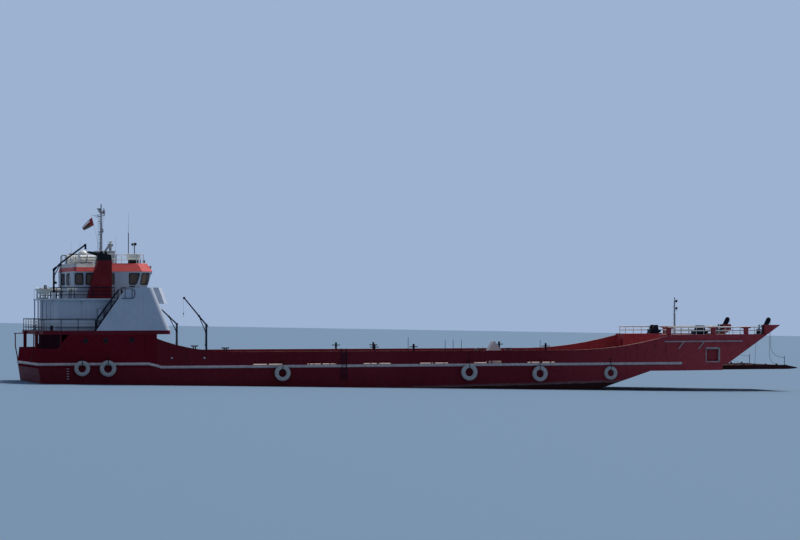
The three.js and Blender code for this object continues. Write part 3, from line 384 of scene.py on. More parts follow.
# size, low, high and detail of the blotches, the two colours they mix, and the shader's own values
plainLooks = {
    # Window gasket and hose rubber: matt, slightly grey with age.
    "gasketRubber": ((0.08, 0.4, 0.7, 6), ("#15161a", "#2a2b2f"), {"Roughness": 0.7}),
    # Hot-dip galvanised steel for wire, chain and hooks: spangled dull grey.
    "galvanisedSteel": ((0.02, 0.35, 0.65, 4), ("#5b5f63", "#7e8387"), {"Metallic": 0.8, "Roughness": 0.5}),
    # Wire rope and hinge pins under old grease: almost black with a slight shine.
    "greasedSteel": ((0.03, 0.35, 0.65, 5), ("#16140f", "#2b2620"), {"Metallic": 0.5, "Roughness": 0.45}),
    # Nickel aluminium bronze, cast and ground, dulled by sea water.
    "castBronze": ((0.12, 0.35, 0.7, 7), ("#8f6c34", "#5d5f42"), {"Metallic": 0.85, "Roughness": 0.42}),
    # Thick pressed glass or clear acrylic over a lamp, slightly milky.
    "lampLens": ((0.03, 0.3, 0.7, 4), ("#c9d4d8", "#e6ecec"),
                 {"Roughness": 0.15, "Transmission Weight": 0.4}),
}


def plainMaterial(name):
    blotches, colours, values = plainLooks[name]
    material, tree, shader, coords = newMaterial(name)
    colour = mixColour(tree, patches(tree, coords, *blotches), *colours)
    connect(tree, shader, values, {"Base Color": colour})
    return material


paint = {name: shipPaint(name, look) for name, look in paints.items()}
tyreRubber = sunTyreRubber()
gasket = plainMaterial("gasketRubber")
glass = windowGlass()
zinc = plainMaterial("galvanisedSteel")
greased = plainMaterial("greasedSteel")
bronze = plainMaterial("castBronze")
whiteGel = gelcoat()
lens = plainMaterial("lampLens")
flagCloth = bunting()
print("materials:", len(bpy.data.materials))


# Small shapes that the pieces are made of.

def up(height):
    return Vector((0, 0, height))


def upright(direction):
    # the turn that points local Z along a direction
    return direction.to_track_quat("Z", "Y").to_matrix().to_4x4()


def circle(count, first=0):
    return [2 * pi * (k + first) / count for k in range(count)]


def arc(first, last, step):
    return [radians(degrees) for degrees in range(first, last, step)]


def facesOf(parts):
    return {face for part in parts for face in part.link_faces}


def paintFaces(faces, index):
    for face in faces:
        face.material_index = index


def roundEdges(bm, edges, faces, width):
    made = bmesh.ops.bevel(bm, geom=list(edges), offset=width, offset_type="OFFSET", affect="EDGES",
                           segments=2, profile=0.5, material=-1)
    return {face for face in faces if face.is_valid} | set(made["faces"])


def tube(bm, start, end, radius, endRadius=None, segments=12, index=0):
    start, end = Vector(start), Vector(end)
    along = end - start
    place = Matrix.Translation((start + end) / 2) @ upright(along)
    made = bmesh.ops.create_cone(bm, cap_ends=True, segments=segments, radius1=radius,
                                 radius2=radius if endRadius is None else endRadius,
                                 depth=along.length, matrix=place)
    paintFaces(facesOf(made["verts"]), index)


def ball(bm, centre, radius, index=0, detail=8):
    made = bmesh.ops.create_uvsphere(bm, u_segments=detail, v_segments=detail // 2 + 1, radius=radius,
                                     matrix=Matrix.Translation(centre))
    paintFaces(facesOf(made["verts"]), index)


def pipe(bm, points, radius, segments=10, index=0, closed=False):
    points = [Vector(p) for p in points]
    rings = []
    last = len(points) - 1
    for i, point in enumerate(points):
        before = points[i - 1] if i or closed else point
        after = points[(i + 1) % len(points)] if i < last or closed else point
        turn = upright(after - before)
        made = bmesh.ops.create_circle(bm, cap_ends=i in (0, last) and not closed, segments=segments,
                                       radius=radius, matrix=Matrix.Translation(point) @ turn)["verts"]
        rings.append({e for v in made for e in v.link_edges})
    pairs = list(zip(rings, rings[1:]))
    if closed:
        pairs.append((rings[-1], rings[0]))
    faces = set()
    for a, b in pairs:
        faces |= set(bmesh.ops.bridge_loops(bm, edges=list(a | b))["faces"])
    # the caps and the bridges come with either winding
    faces |= facesOf(rings[0] | rings[-1])
    bmesh.ops.recalc_face_normals(bm, faces=list(faces))
    paintFaces(faces, index)


def slab(bm, low, high, bevel=0.0, index=0, turn=None):
    low, high = Vector(low), Vector(high)
    middle = Matrix.Translation((low + high) / 2)
    place = middle @ Matrix.Diagonal((*(high - low), 1))
    if turn is not None:
        place = middle @ turn @ middle.inverted() @ place
    made = bmesh.ops.create_cube(bm, size=1, matrix=place)["verts"]
    faces = facesOf(made)
    if bevel:
        faces = roundEdges(bm, {e for v in made for e in v.link_edges}, faces, bevel)
    paintFaces(faces, index)


def block(bm, centre, half, bevel=0.0, index=0):
    centre, half = Vector(centre), Vector(half)
    slab(bm, centre - half, centre + half, bevel, index)


def prism(bm, outline, shift, index=0, bevel=0.0):
    corners = [bm.verts.new(Vector(p)) for p in outline]
    face = bm.faces.new(corners)
    made = bmesh.ops.extrude_face_region(bm, geom=[face])["geom"]
    moved = [v for v in made if isinstance(v, bmesh.types.BMVert)]
    bmesh.ops.translate(bm, verts=moved, vec=Vector(shift))
    faces = facesOf(corners + moved)
    bmesh.ops.recalc_face_normals(bm, faces=list(faces))
    if bevel:
        faces = roundEdges(bm, {e for f in faces for e in f.edges}, faces, bevel)
    paintFaces(faces, index)


def turned(bm, profile, place, steps=32, index=0):
    # profile points are (radius, height) round the local Z axis; a closed profile gives a ring
    corners = [bm.verts.new((r, 0, z)) for r, z in profile]
    ring = profile[0][0] > 1e-6
    pairs = list(zip(corners, corners[1:])) + ([(corners[-1], corners[0])] if ring else [])
    edges = [bm.edges.new(pair) for pair in pairs]
    bmesh.ops.spin(bm, geom=corners + edges, cent=(0, 0, 0), axis=(0, 0, 1), dvec=(0, 0, 0),
                   angle=2 * pi, steps=steps, use_merge=True, use_duplicate=False)
    reached = set(corners)
    front = list(corners)
    while front:
        for edge in front.pop().link_edges:
            for vert in edge.verts:
                if vert not in reached:
                    reached.add(vert)
                    front.append(vert)
    bmesh.ops.remove_doubles(bm, verts=list(reached), dist=1e-5)
    reached = [v for v in reached if v.is_valid]
    faces = facesOf(reached)
    bmesh.ops.recalc_face_normals(bm, faces=list(faces))
    bmesh.ops.transform(bm, matrix=place, verts=reached)
    paintFaces(faces, index)


def facing(centre, outward):
    # a place whose local Z looks along outward
    return Matrix.Translation(Vector(centre)) @ upright(Vector(outward))


def hoop(bm, centre, radius, thick, steps, segments, index=0):
    # a ring of round bar that stands across the ship
    x, y, z = centre
    pipe(bm, [(x, y + radius * cos(a), z + radius * sin(a)) for a in circle(steps)], thick, segments, index,
         closed=True)


def rung(bm, near, far, y, half, z, thick=0.006, index=0):
    # a step bent from round bar, its two feet on a wall at near
    pipe(bm, [(near, y - half, z), (far, y - half, z), (far, y + half, z), (near, y + half, z)], thick, 6,
         index)


def gussets(bm, foot, radius, first, wide, tall, thick):
    # four triangular plates round the foot of a post
    for k in range(4):
        turn = radians(first + 90 * k)
        reach = Vector((cos(turn), sin(turn), 0))
        corner = Vector(foot) + reach * radius
        prism(bm, [corner, corner + reach * wide, corner + up(tall)], Vector((-reach.y, reach.x, 0)) * thick)


def curved(start, corner, end, steps):
    # points from start to end, drawn towards the corner
    shares = [k / steps for k in range(steps + 1)]
    return [start * (1 - t) ** 2 + corner * 2 * t * (1 - t) + end * t ** 2 for t in shares]


def finishPiece(name, bm, body, materials, replaced=(), smooth=40):
    mesh = bpy.data.meshes.new(name)
    bm.to_mesh(mesh)
    bm.free()
    for material in materials:
        mesh.materials.append(material)
    piece = bpy.data.objects.new(name, mesh)
    scene.collection.objects.link(piece)
    if smooth:
        smoothPiece(piece, smooth)
    if body:
        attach(piece, body)
    if replaced:
        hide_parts(*replaced)
    return piece


def smoothPiece(piece, angle):
    piece.data.polygons.foreach_set("use_smooth", [True] * len(piece.data.polygons))
    split = piece.modifiers.new("hardEdges", "EDGE_SPLIT")
    split.split_angle = radians(angle)


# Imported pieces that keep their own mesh.

keptPaint = {
    "bulwarkPaint": ["bulwark_s", "bulwark_p"],
    "poopPaint": ["poop"],
    "hullPaint": ["rudder_s", "rudder_p", "poop_door_s", "poop_door_p"],
    "deckedHullPaint": ["hull", "bow_wing_s", "bow_wing_p", "deck_b"],
    "rampPaint": ["ramp"],
    "edgePaint": ["deck_c"],
    "barPaint": ["wing_fender_s", "wing_fender_p"],
    "fenderPaint": ["fender_line_s", "fender_line_p"],
    "housePaint": ["house", "screen", "dodger", "wheelhouse", "wheel_door_s", "wheel_door_p"],
    "fasciaPaint": ["roof"],
    "funnelPaint": ["funnel_s", "funnel_p"],
    "sootAndShadowBlack": ["funnel_top_s", "funnel_top_p"],
    "davitPaint": ["ladder_s", "ladder_p", "sheave_post_s", "sheave_post_p", "ramp_winch_s", "ramp_winch_p",
                   "cargo_davit_s", "cargo_davit_p", "boat_davit", "rail_c"],
    "railPaint": ["mast", "foremast", "rail_b", "rail_roof", "wing_rail_s", "wing_rail_p", "vent_hood"],
}


def dress(name, material):
    obj = nodes[name]
    obj.data.materials.clear()
    obj.data.materials.append(material)
    weld = obj.modifiers.new("weld", "WELD")
    weld.merge_threshold = 0.0001
    smoothPiece(obj, 32)


def dressKept():
    for name, members in keptPaint.items():
        for member in members:
            dress(member, paint[name])
    for name in ("glass_front", "glass_aft"):
        dress(name, glass)
    for name in ("screw_s", "screw_p"):
        dress(name, bronze)
    for name in ("scanner", "roof_locker", "dome", "rescue_boat"):
        dress(name, whiteGel)
    dress("flag", flagCloth)


dressKept()
print("packed pieces painted")


# Strake and tyres.

strake = {"radius": 0.062, "aftHeight": 1.925, "height": 1.775, "jog": (4.675, 5.23), "foreEnd": 29.25,
          "knuckle": -0.075}
# station, height, outer radius and how far each tyre stands off the plating
tyres = [(1.79, 1.745, 0.33, 0.053), (2.9, 1.735, 0.35, 0.053), (10.575, 1.485, 0.345, 0.053),
         (19.105, 1.455, 0.365, 0.053), (22.43, 1.36, 0.345, 0.005), (25.79, 1.36, 0.30, 0.005)]
tyre = {"width": 0.165, "bead": 0.52, "steps": 44, "groove": 0.012}


def makeStrake(tag, side):
    bm = bmesh.new()
    stern = strake["knuckle"]
    jogAft, jogFore = strake["jog"]
    middle = hullPlan["sternTaperEnd"]
    half = (strake["aftHeight"] + strake["height"]) / 2
    route = [(stern, 0, strake["aftHeight"]), (stern, side * (breadthAt(stern) - 0.01), strake["aftHeight"]),
             (jogAft, side * breadthAt(jogAft), strake["aftHeight"]),
             (middle, side * breadthAt(middle), half), (jogFore, side * 3.5, strake["height"]),
             (29.0, side * 3.5, strake["height"]),
             (strake["foreEnd"], side * breadthAt(strake["foreEnd"]), strake["height"])]
    pipe(bm, [(at(x), y, z) for x, y, z in route], strake["radius"], 14)
    return finishPiece(f"strake_{tag}", bm, "craft", [paint["fenderPaint"]],
                       [f"fender_line_{tag}"], smooth=50)


def makeTyres(tag, side):
    bm = bmesh.new()
    for station, height, radius, off in tyres:
        half = tyre["width"] / 2
        y = side * (breadthAt(station) + off + half)
        bead = radius * tyre["bead"]
        groove = tyre["groove"]
        profile = [(bead, -half * 0.62), (bead * 1.07, -half * 0.78), (radius * 0.68, -half),
                   (radius * 0.80, -half), (radius * 0.815, -half * 0.92), (radius * 0.83, -half),
                   (radius * 0.93, -half * 0.9), (radius, -half * 0.72), (radius, -half * 0.42),
                   (radius - groove, -half * 0.38), (radius - groove, -half * 0.3), (radius, -half * 0.26),
                   (radius, half * 0.26), (radius - groove, half * 0.3), (radius - groove, half * 0.38),
                   (radius, half * 0.42), (radius, half * 0.72), (radius * 0.93, half * 0.9),
                   (radius * 0.80, half), (radius * 0.68, half), (bead * 1.07, half * 0.78),
                   (bead, half * 0.62), (bead * 1.12, half * 0.5), (bead * 1.12, -half * 0.5)]
        turned(bm, profile, facing((at(station), y, height), (0, side, 0)), tyre["steps"])
        # rope from the eye on the plating round the top of the tyre
        hull = side * (breadthAt(station) + 0.01)
        outer = side * (breadthAt(station) + off + tyre["width"] + 0.008)
        eye = max(height + radius + 0.1, 1.98)
        inside = height + bead - 0.02
        route = [(0, hull, eye), (0, hull + side * 0.07, eye - 0.06),
                 (0.004, outer - side * 0.05, height + radius + 0.02), (0.004, outer, height + radius * 0.86),
                 (0.0, outer, height + radius * 0.7), (-0.004, outer - side * 0.05, inside),
                 (-0.006, hull + side * (off + 0.02), inside + 0.01)]
        pipe(bm, [(at(station) + dx, y2, z) for dx, y2, z in route], 0.016, 7, 1)
        ball(bm, (at(station), hull, eye), 0.035, 1)
    return finishPiece(f"tyres_{tag}", bm, "craft", [tyreRubber, greased],
                       [f"fender_line_{tag}"])


for tag, side in sides:
    makeStrake(tag, side)
    makeTyres(tag, side)
print("strakes and tyres")


# Rails of round pipe with stanchions, feet and balls where they cross.

railing = {"pipe": 0.012, "post": 0.015, "foot": 0.035}
railRuns = {
    "rail_b": {"paths": [[(2.38, -3.3), (0.19, -3.17), (0.19, 3.17), (2.38, 3.3)]], "deck": deckB,
               "pipe": 0.016, "heights": (0.13, 0.25, 0.375, 0.5), "spacing": 0.76, "paint": "davitPaint",
               "slot": "fittings_white", "pale": (0.25, 0.375)},
    "rail_c": {"paths": [[(3.28, -2.91), (1.4, -2.91), (1.0, -2.72), (0.84, -2.3), (0.84, 2.3), (1.0, 2.72),
                          (1.4, 2.91), (3.28, 2.91)],
                         [(3.6, -2.91), (4.1, -2.91)], [(3.6, 2.91), (4.1, 2.91)]], "deck": deckC,
               "pipe": 0.016, "heights": (0.16, 0.315, 0.47), "spacing": 0.76, "paint": "davitPaint",
               "slot": "davit_navy"},
    "rail_roof": {"paths": [[(1.76, -1.93), (4.43, -1.93), (4.8, -1.56), (4.8, 1.56), (4.43, 1.93),
                             (1.76, 1.93), (1.76, -1.93)]], "deck": roofTop,
                  "heights": (0.2, 0.4), "spacing": 0.8, "paint": "railPaint", "slot": "fittings_white"},
}
for tag, side in sides:
    railRuns[f"wing_rail_{tag}"] = {
        "paths": [[(28.7, side * 3.23), (29.0, side * 3.23), (33.58, side * 2.558)]], "deck": wingTop,
        "heights": (0.17, 0.33), "spacing": 0.39, "pipe": 0.024, "paint": "railPaint",
        "slot": "fittings_white"}


def makeRailing(name, run):
    bm = bmesh.new()
    deck, top = run["deck"], max(run["heights"])
    for path in run["paths"]:
        for height in run["heights"]:
            thick = run.get("pipe", railing["pipe"]) * (1.2 if height == top else 1)
            pale = 1 if height in run.get("pale", ()) else 0
            pipe(bm, [(at(x), y, deck + height) for x, y in path], thick, 8, pale)
        for i, (a, b) in enumerate(zip(path, path[1:])):
            a, b = Vector((at(a[0]), a[1], deck)), Vector((at(b[0]), b[1], deck))
            count = max(1, round((b - a).length / run["spacing"]))
            for k in range(0 if i == 0 else 1, count + 1):
                foot = a.lerp(b, k / count)
                tube(bm, foot, foot + up(top), railing["post"], segments=8)
                tube(bm, foot, foot + up(0.012), railing["foot"], segments=10)
                for height in run["heights"]:
                    ball(bm, foot + up(height), railing["post"] * 1.5, detail=6)
    return finishPiece(f"{name}_pipes", bm, "craft", [paint[run["paint"]], paint["railPaint"]],
                       [name], smooth=45)


for name, run in railRuns.items():
    makeRailing(name, run)
print("rails")


# Portholes in the poop plating, with bolted rims and a rain lip over each.

portholes = {"places": [(1.965, 2.93), (2.825, 2.925), (3.945, 2.96)], "radius": 0.1, "rim": 0.03, "bolts": 8}


def makePortholes(tag, side):
    bm = bmesh.new()
    radius, rim = portholes["radius"], portholes["rim"]
    for station, height in portholes["places"]:
        centre = (at(station), side * breadthAt(station), height)
        place = facing(centre, (0, side, 0))
        turned(bm, [(radius, -0.01), (radius, 0.018), (radius + 0.008, 0.026), (radius + rim - 0.006, 0.024),
                    (radius + rim, 0.016), (radius + rim, -0.01)], place, 28)
        turned(bm, [(0, 0.006), (radius + 0.004, 0.006), (radius + 0.004, -0.012), (0, -0.012)], place, 28, 1)
        for turn in circle(portholes["bolts"], 0.5):
            spot = place @ Vector((cos(turn) * (radius + rim / 2), sin(turn) * (radius + rim / 2), 0.022))
            tube(bm, spot, spot + Vector((0, side * 0.01, 0)), 0.008, segments=6, index=2)
        lip = [place @ Vector((cos(a) * (radius + rim + 0.02), sin(a) * (radius + rim + 0.02), 0.012))
               for a in arc(25, 156, 13)]
        if (lip[5] - place.translation).z < 0:
            lip = [Vector((p.x, p.y, 2 * height - p.z)) for p in lip]
        pipe(bm, lip, 0.009, 6)
    return finishPiece(f"portholes_{tag}", bm, "craft", [paint["hullPaint"], paint["sootAndShadowBlack"], zinc])


# Wheelhouse windows: rubber gaskets with rounded corners, wipers in front, a gutter under the eave.

wheel = {"base": deckC + 0.0005, "rake": 0.29, "half": 2.25, "aft": 1.615, "sideEnd": 4.275, "front": 4.78,
         "frontHalf": 1.825, "sill": 5.38, "head": 5.833}
sideWindows = [(1.692, 2.01, 2.01), (2.165, 2.475, 2.475), (4.065, 4.345, 4.5)]
frontWindows = (-1.13, 0.0, 1.13)
doorWindow = (3.27, 3.385)
gasketShape = {"radius": 0.06, "spread": 0.034, "lap": 0.012, "out": 0.02}


def roundedLoop(corners, spread, radius):
    corners = [Vector(c) for c in corners]
    count = len(corners)
    moved = []
    for i, corner in enumerate(corners):
        before = (corner - corners[i - 1]).normalized()
        after = (corner - corners[(i + 1) % count]).normalized()
        moved.append(corner + (before + after) * spread)
    loop = []
    for i, corner in enumerate(moved):
        start = corner + (moved[i - 1] - corner).normalized() * radius
        end = corner + (moved[(i + 1) % count] - corner).normalized() * radius
        loop += curved(start, corner, end, 4)
    return loop


def closedSkin(bm, loops, index=0):
    # a ring-shaped solid: each loop is bridged to the next, and the last to the first
    rings = []
    for loop in loops:
        verts = [bm.verts.new(p) for p in loop]
        rings.append([bm.edges.new((verts[i - 1], verts[i])) for i in range(len(verts))])
    faces = []
    for a, b in zip(rings, rings[1:] + rings[:1]):
        faces += bmesh.ops.bridge_loops(bm, edges=a + b)["faces"]
    bmesh.ops.recalc_face_normals(bm, faces=faces)
    paintFaces(faces, index)


def windowGasket(bm, corners, outward, index=0, narrow=1.0):
    shape = {key: value * narrow for key, value in gasketShape.items()}
    outward = Vector(outward).normalized() * shape["out"]
    inner = roundedLoop(corners, -shape["lap"], shape["radius"])
    outer = roundedLoop(corners, shape["spread"], shape["radius"] + shape["spread"])
    middle = roundedLoop(corners, shape["spread"] * 0.4, shape["radius"] + shape["spread"] * 0.5)
    closedSkin(bm, [[p - outward * 0.3 for p in inner], [p + outward * 0.6 for p in inner],
                    [p + outward for p in middle], [p + outward * 0.5 for p in outer],
                    [p - outward * 0.3 for p in outer]], index)


def raked(station, y, height):
    return (at(station + wheel["rake"] * (height - wheel["base"])), y, height)


def pane(half):
    # side distance and height of a window's four corners
    low, high = wheel["sill"], wheel["head"]
    return (-half, low), (half, low), (half, high), (-half, high)


def makeWheelWindows():
    bm = bmesh.new()
    sill, head = wheel["sill"], wheel["head"]
    half, frontHalf = wheel["half"], wheel["frontHalf"]
    sideEnd, front = wheel["sideEnd"], wheel["front"]
    middleHeight = (sill + head) / 2
    for side in (-1, 1):
        y = side * half
        for aft, fore, foreHead in sideWindows:
            windowGasket(bm, [(at(aft), y, sill), (at(fore), y, sill), (at(foreHead), y, head),
                              (at(aft), y, head)],
                         (0, side, 0))
        # corner window, cut square into the slanting panel
        along = Vector((front - sideEnd, side * (frontHalf - half), 0)).normalized()
        middle = Vector(((sideEnd + front) / 2, side * (half + frontHalf) / 2, 0))
        slope = Vector((wheel["rake"], 0, 1))
        slope -= along * slope.dot(along)
        anchor = middle + Vector((wheel["rake"] * (middleHeight - wheel["base"]), 0, middleHeight))
        corners = [anchor + along * u * 0.235 + slope * (z - middleHeight) for u, z in pane(1)]
        out = along.cross(slope) * side
        windowGasket(bm, [(at(p.x), p.y, p.z) for p in corners], out if out.x > 0 else -out)
    for y in frontWindows:
        corners = [raked(front, y + dy, z) for dy, z in pane(0.5)]
        windowGasket(bm, corners, (1, 0, -wheel["rake"]))
    for y in (-0.75, 0.75):
        corners = [(at(wheel["aft"]), y + dy, z) for dy, z in pane(0.44)]
        windowGasket(bm, corners, (-1, 0, 0))
    return finishPiece("wheel_windows", bm, "craft", [gasket], smooth=45)


def makeWheelTrim():
    # wipers on the front panes, gutter pipe under the eave, grab rail round the front and the side lights
    bm = bmesh.new()
    base, half, frontHalf = wheel["base"], wheel["half"], wheel["frontHalf"]
    aft, sideEnd, front = wheel["aft"], wheel["sideEnd"], wheel["front"]
    for y in frontWindows:
        foot = Vector(raked(front + 0.03, y + 0.32, wheel["head"]))
        tip = Vector(raked(front + 0.03, y + 0.02, wheel["sill"] + 0.14))
        block(bm, foot, (0.03, 0.035, 0.03), 0.008, 1)
        tube(bm, foot, tip, 0.006, 0.004, 6, 1)
        blade = Vector(raked(0.0, 0.0, base + 0.16)) - Vector(raked(0.0, 0.0, base - 0.16))
        tube(bm, tip - blade * 0.5, tip + blade * 0.5, 0.007, segments=6, index=1)
    z = eave - 0.016
    lean = wheel["rake"] * (z - base)
    out = 0.016
    path = [(aft + 0.07, -half - out), (sideEnd + lean, -half - out),
            (front + lean + out, -frontHalf - out), (front + lean + out, frontHalf + out),
            (sideEnd + lean, half + out), (aft + 0.07, half + out),
            (aft - out, half - 0.07), (aft - out, -half + 0.07)]
    pipe(bm, [(at(x), y, z) for x, y in path], 0.014, 8, closed=True)
    z = wheel["sill"] - 0.16
    lean = wheel["rake"] * (z - base) + 0.05
    grab = [(sideEnd + lean - 0.05, -2.27), (front + lean, -frontHalf - 0.02),
            (front + lean, frontHalf + 0.02), (sideEnd + lean - 0.05, 2.27)]
    pipe(bm, [(at(x), y, z) for x, y in grab], 0.011, 8)
    for y in (-1.7, -0.85, 0.0, 0.85, 1.7):
        tube(bm, (at(front + lean), y, z), (at(front + lean - 0.06), y, z), 0.008, segments=6)
    for side in (-1, 1):
        # side light in its screen, low on the wing wall
        low = (at(4.05), side * 2.3 - 0.04, 5.14)
        slab(bm, low, (at(4.3), side * 2.3 + 0.04, 5.17), 0.0, 1)
        slab(bm, (at(4.05), side * 2.262 - 0.008, 5.14), (at(4.3), side * 2.262 + 0.008, 5.3), 0.0, 1)
        tube(bm, (at(4.13), side * 2.305, 5.17), (at(4.13), side * 2.305, 5.26), 0.03, index=2)
    return finishPiece("wheel_trim", bm, "craft", [paint["railPaint"], gasket, lens])


# Doors: the wheelhouse doors get a window, dogs and a plate, the poop doors dogs, hinge straps and a lever,
# each riding on its leaf.

def makeWheelDoor(tag, side):
    bm = bmesh.new()
    outer = side * (wheel["half"] + 0.035)
    low, high = wheel["sill"], wheel["head"]
    aft, fore = at(doorWindow[0]), at(doorWindow[1])
    windowGasket(bm, [(aft, outer, low), (fore, outer, low), (fore, outer, high), (aft, outer, high)],
                 (0, side, 0), 1, 0.5)
    slab(bm, (aft - 0.004, outer - side * 0.02 - 0.003, low - 0.004),
         (fore + 0.004, outer - side * 0.02 + 0.003, high + 0.004), 0.0, 2)
    for z in (4.93, 5.3):
        tube(bm, (at(3.25), outer - side * 0.002, z), (at(3.25), outer + side * 0.03, z), 0.01, segments=8,
             index=3)
        slab(bm, (at(3.235), outer + side * 0.022 - 0.005, z - 0.075),
             (at(3.265), outer + side * 0.022 + 0.005, z + 0.02), 0.004, 3)
    panel = [(at(3.29), 4.87), (at(3.54), 5.25)]
    slab(bm, (panel[0][0], outer - 0.004, panel[0][1]), (panel[1][0], outer + 0.004, panel[1][1]), 0.003)
    return finishPiece(f"wheel_door_fittings_{tag}", bm, f"wheel_door_{tag}",
                       [paint["housePaint"], gasket, glass, zinc])


def makePoopDoor(tag, side):
    bm = bmesh.new()
    face = at(5.04 + 0.035)
    near, far = side * 2.21, side * 2.615
    for z in (1.98, 2.32, 2.66):
        y = far - side * 0.04
        tube(bm, (face - 0.002, y, z), (face + 0.035, y, z), 0.012, segments=8, index=1)
        slab(bm, (face + 0.022, y - 0.012, z - 0.085), (face + 0.034, y + 0.012, z + 0.02), 0.004, 1)
    for z in (2.0, 2.6):
        slab(bm, (face - 0.002, min(near, far) + 0.05, z - 0.02),
             (face + 0.012, max(near, far) - 0.09, z + 0.02), 0.003)
    tube(bm, (face - 0.002, far - side * 0.11, 2.33), (face + 0.05, far - side * 0.11, 2.33), 0.01,
         segments=8, index=1)
    tube(bm, (face + 0.05, far - side * 0.11, 2.24), (face + 0.05, far - side * 0.11, 2.42), 0.01, segments=8,
         index=1)
    return finishPiece(f"poop_door_fittings_{tag}", bm, f"poop_door_{tag}", [paint["hullPaint"], zinc])


# Helm inside the wheelhouse: console, wheel, two seats and the shelf under the front windows.

def makeHelm():
    bm = bmesh.new()
    floor = deckC + 0.004
    slab(bm, (at(4.25), -1.1, floor), (at(4.62), 1.1, floor + 0.42), 0.02)
    prism(bm, [(at(4.25), -1.05, floor + 0.42), (at(4.62), -1.05, floor + 0.42),
               (at(4.62), -1.05, floor + 0.5), (at(4.3), -1.05, floor + 0.56)], (0, 2.1, 0), 1)
    for y in (-0.75, -0.25, 0.45, 0.85):
        slab(bm, (at(4.52), y - 0.12, floor + 0.5), (at(4.56), y + 0.12, floor + 0.7), 0.01, 2)
    hub = (at(4.2), 0, floor + 0.52)
    hoop(bm, hub, 0.19, 0.011, 20, 8, 2)
    for a in circle(3):
        tube(bm, hub, (hub[0], 0.19 * cos(a), hub[2] + 0.19 * sin(a)), 0.008, segments=6, index=2)
    tube(bm, hub, (at(4.28), 0, floor + 0.5), 0.02, segments=10, index=2)
    for y in (-0.7, 0.7):
        tube(bm, (at(3.85), y, floor), (at(3.85), y, floor + 0.3), 0.035, index=1)
        slab(bm, (at(3.72), y - 0.14, floor + 0.3), (at(4.0), y + 0.14, floor + 0.36), 0.025, 3)
        slab(bm, (at(3.7), y - 0.14, floor + 0.36), (at(3.76), y + 0.14, floor + 0.68), 0.025, 3)
    slab(bm, (at(1.75), -1.9, floor), (at(2.2), -0.6, floor + 0.4), 0.015)
    slab(bm, (at(1.75), 0.6, floor), (at(2.1), 1.9, floor + 0.22), 0.03, 3)
    return finishPiece("helm", bm, "craft", [paint["housePaint"], paint["sootAndShadowBlack"], gasket, tyreRubber])


for tag, side in sides:
    makePortholes(tag, side)
    makeWheelDoor(tag, side)
    makePoopDoor(tag, side)
makeWheelWindows()
makeWheelTrim()
makeHelm()
print("windows and doors")


# Wheelhouse roof: satellite dome, locker with searchlight, whip aerials, loudspeakers and vents.

def makeDome():
    bm = bmesh.new()
    place = Matrix.Translation((at(2.195), -1.25, roofTop))
    profile = [(0, 0.02), (0.19, 0.02), (0.2, 0.06), (0.25, 0.07), (0.26, 0.09), (0.26, 0.285)]
    profile += [(0.26 * cos(a), 0.285 + 0.298 * sin(a)) for a in arc(12, 90, 13)] + [(0, 0.584)]
    turned(bm, profile, place, 40)
    tube(bm, (at(2.195), -1.25, roofTop), (at(2.195), -1.25, roofTop + 0.03), 0.24, segments=24, index=1)
    for a in circle(8):
        spot = Vector((at(2.195) + 0.22 * cos(a), -1.25 + 0.22 * sin(a), roofTop + 0.03))
        tube(bm, spot, spot + up(0.014), 0.01, segments=6, index=1)
    pipe(bm, [(at(2.195) + 0.262 * cos(a), -1.25 + 0.262 * sin(a), roofTop + 0.285) for a in circle(36)],
         0.006, 6, closed=True)
    return finishPiece("satellite_dome", bm, "craft", [whiteGel, zinc], ["dome"])


def makeRoofLocker():
    # cream locker raised on a black block that is painted shadow under it, and the searchlight on its lid
    bm = bmesh.new()
    lid = 6.7
    slab(bm, (at(4.23), -1.25, roofTop + 0.16), (at(4.69), -0.55, lid - 0.04), 0.02)
    slab(bm, (at(4.217), -1.25, lid - 0.05), (at(4.7), -0.55, lid), 0.016)
    # painted shadow: an inset black block fills the space under the raised locker
    slab(bm, (at(4.28), -1.18, roofTop), (at(4.66), -0.62, roofTop + 0.17), 0.0, 2)
    for y in (-1.1, -0.7):
        slab(bm, (at(4.685), y - 0.02, lid - 0.12), (at(4.7), y + 0.02, lid - 0.03), 0.004, 1)
    x = at(4.52)
    tube(bm, (x, -0.9, lid - 0.01), (x, -0.9, 7.07), 0.02, index=2)
    tube(bm, (x, -0.9, lid - 0.01), (x, -0.9, lid + 0.02), 0.05, segments=16, index=2)
    yoke = [(x, -1.0, 7.16), (x, -1.0, 7.085), (x, -0.9, 7.062), (x, -0.8, 7.085), (x, -0.8, 7.16)]
    pipe(bm, yoke, 0.01, 8, 2)
    for dx, dz, turn in ((-0.11, 0.02, -0.5), (0.0, 0.035, 0.45)):
        place = facing((at(4.5) + dx, -0.9, 7.11 + dz), (0.55, turn, 0.1))
        turned(bm, [(0, 0), (0.03, 0), (0.05, 0.02), (0.062, 0.06), (0.062, 0.1), (0.066, 0.106),
                    (0.06, 0.108), (0.056, 0.085), (0, 0.083)], place, 26, 2)
        turned(bm, [(0, 0.083), (0.057, 0.083), (0.057, 0.096), (0.03, 0.1), (0, 0.101)], place, 26, 3)
    return finishPiece("roof_locker_light", bm, "craft", [whiteGel, zinc, paint["sootAndShadowBlack"], lens],
                       ["roof_locker"])


# station, side distance, top height and foot radius of each whip aerial
whips = [(1.98, -1.7, 7.28, 0.016), (2.09, 1.4, 7.28, 0.016), (3.715, -0.75, 7.512, 0.014),
         (4.33, -0.45, 8.57, 0.018), (4.66, -1.55, 6.82, 0.022)]


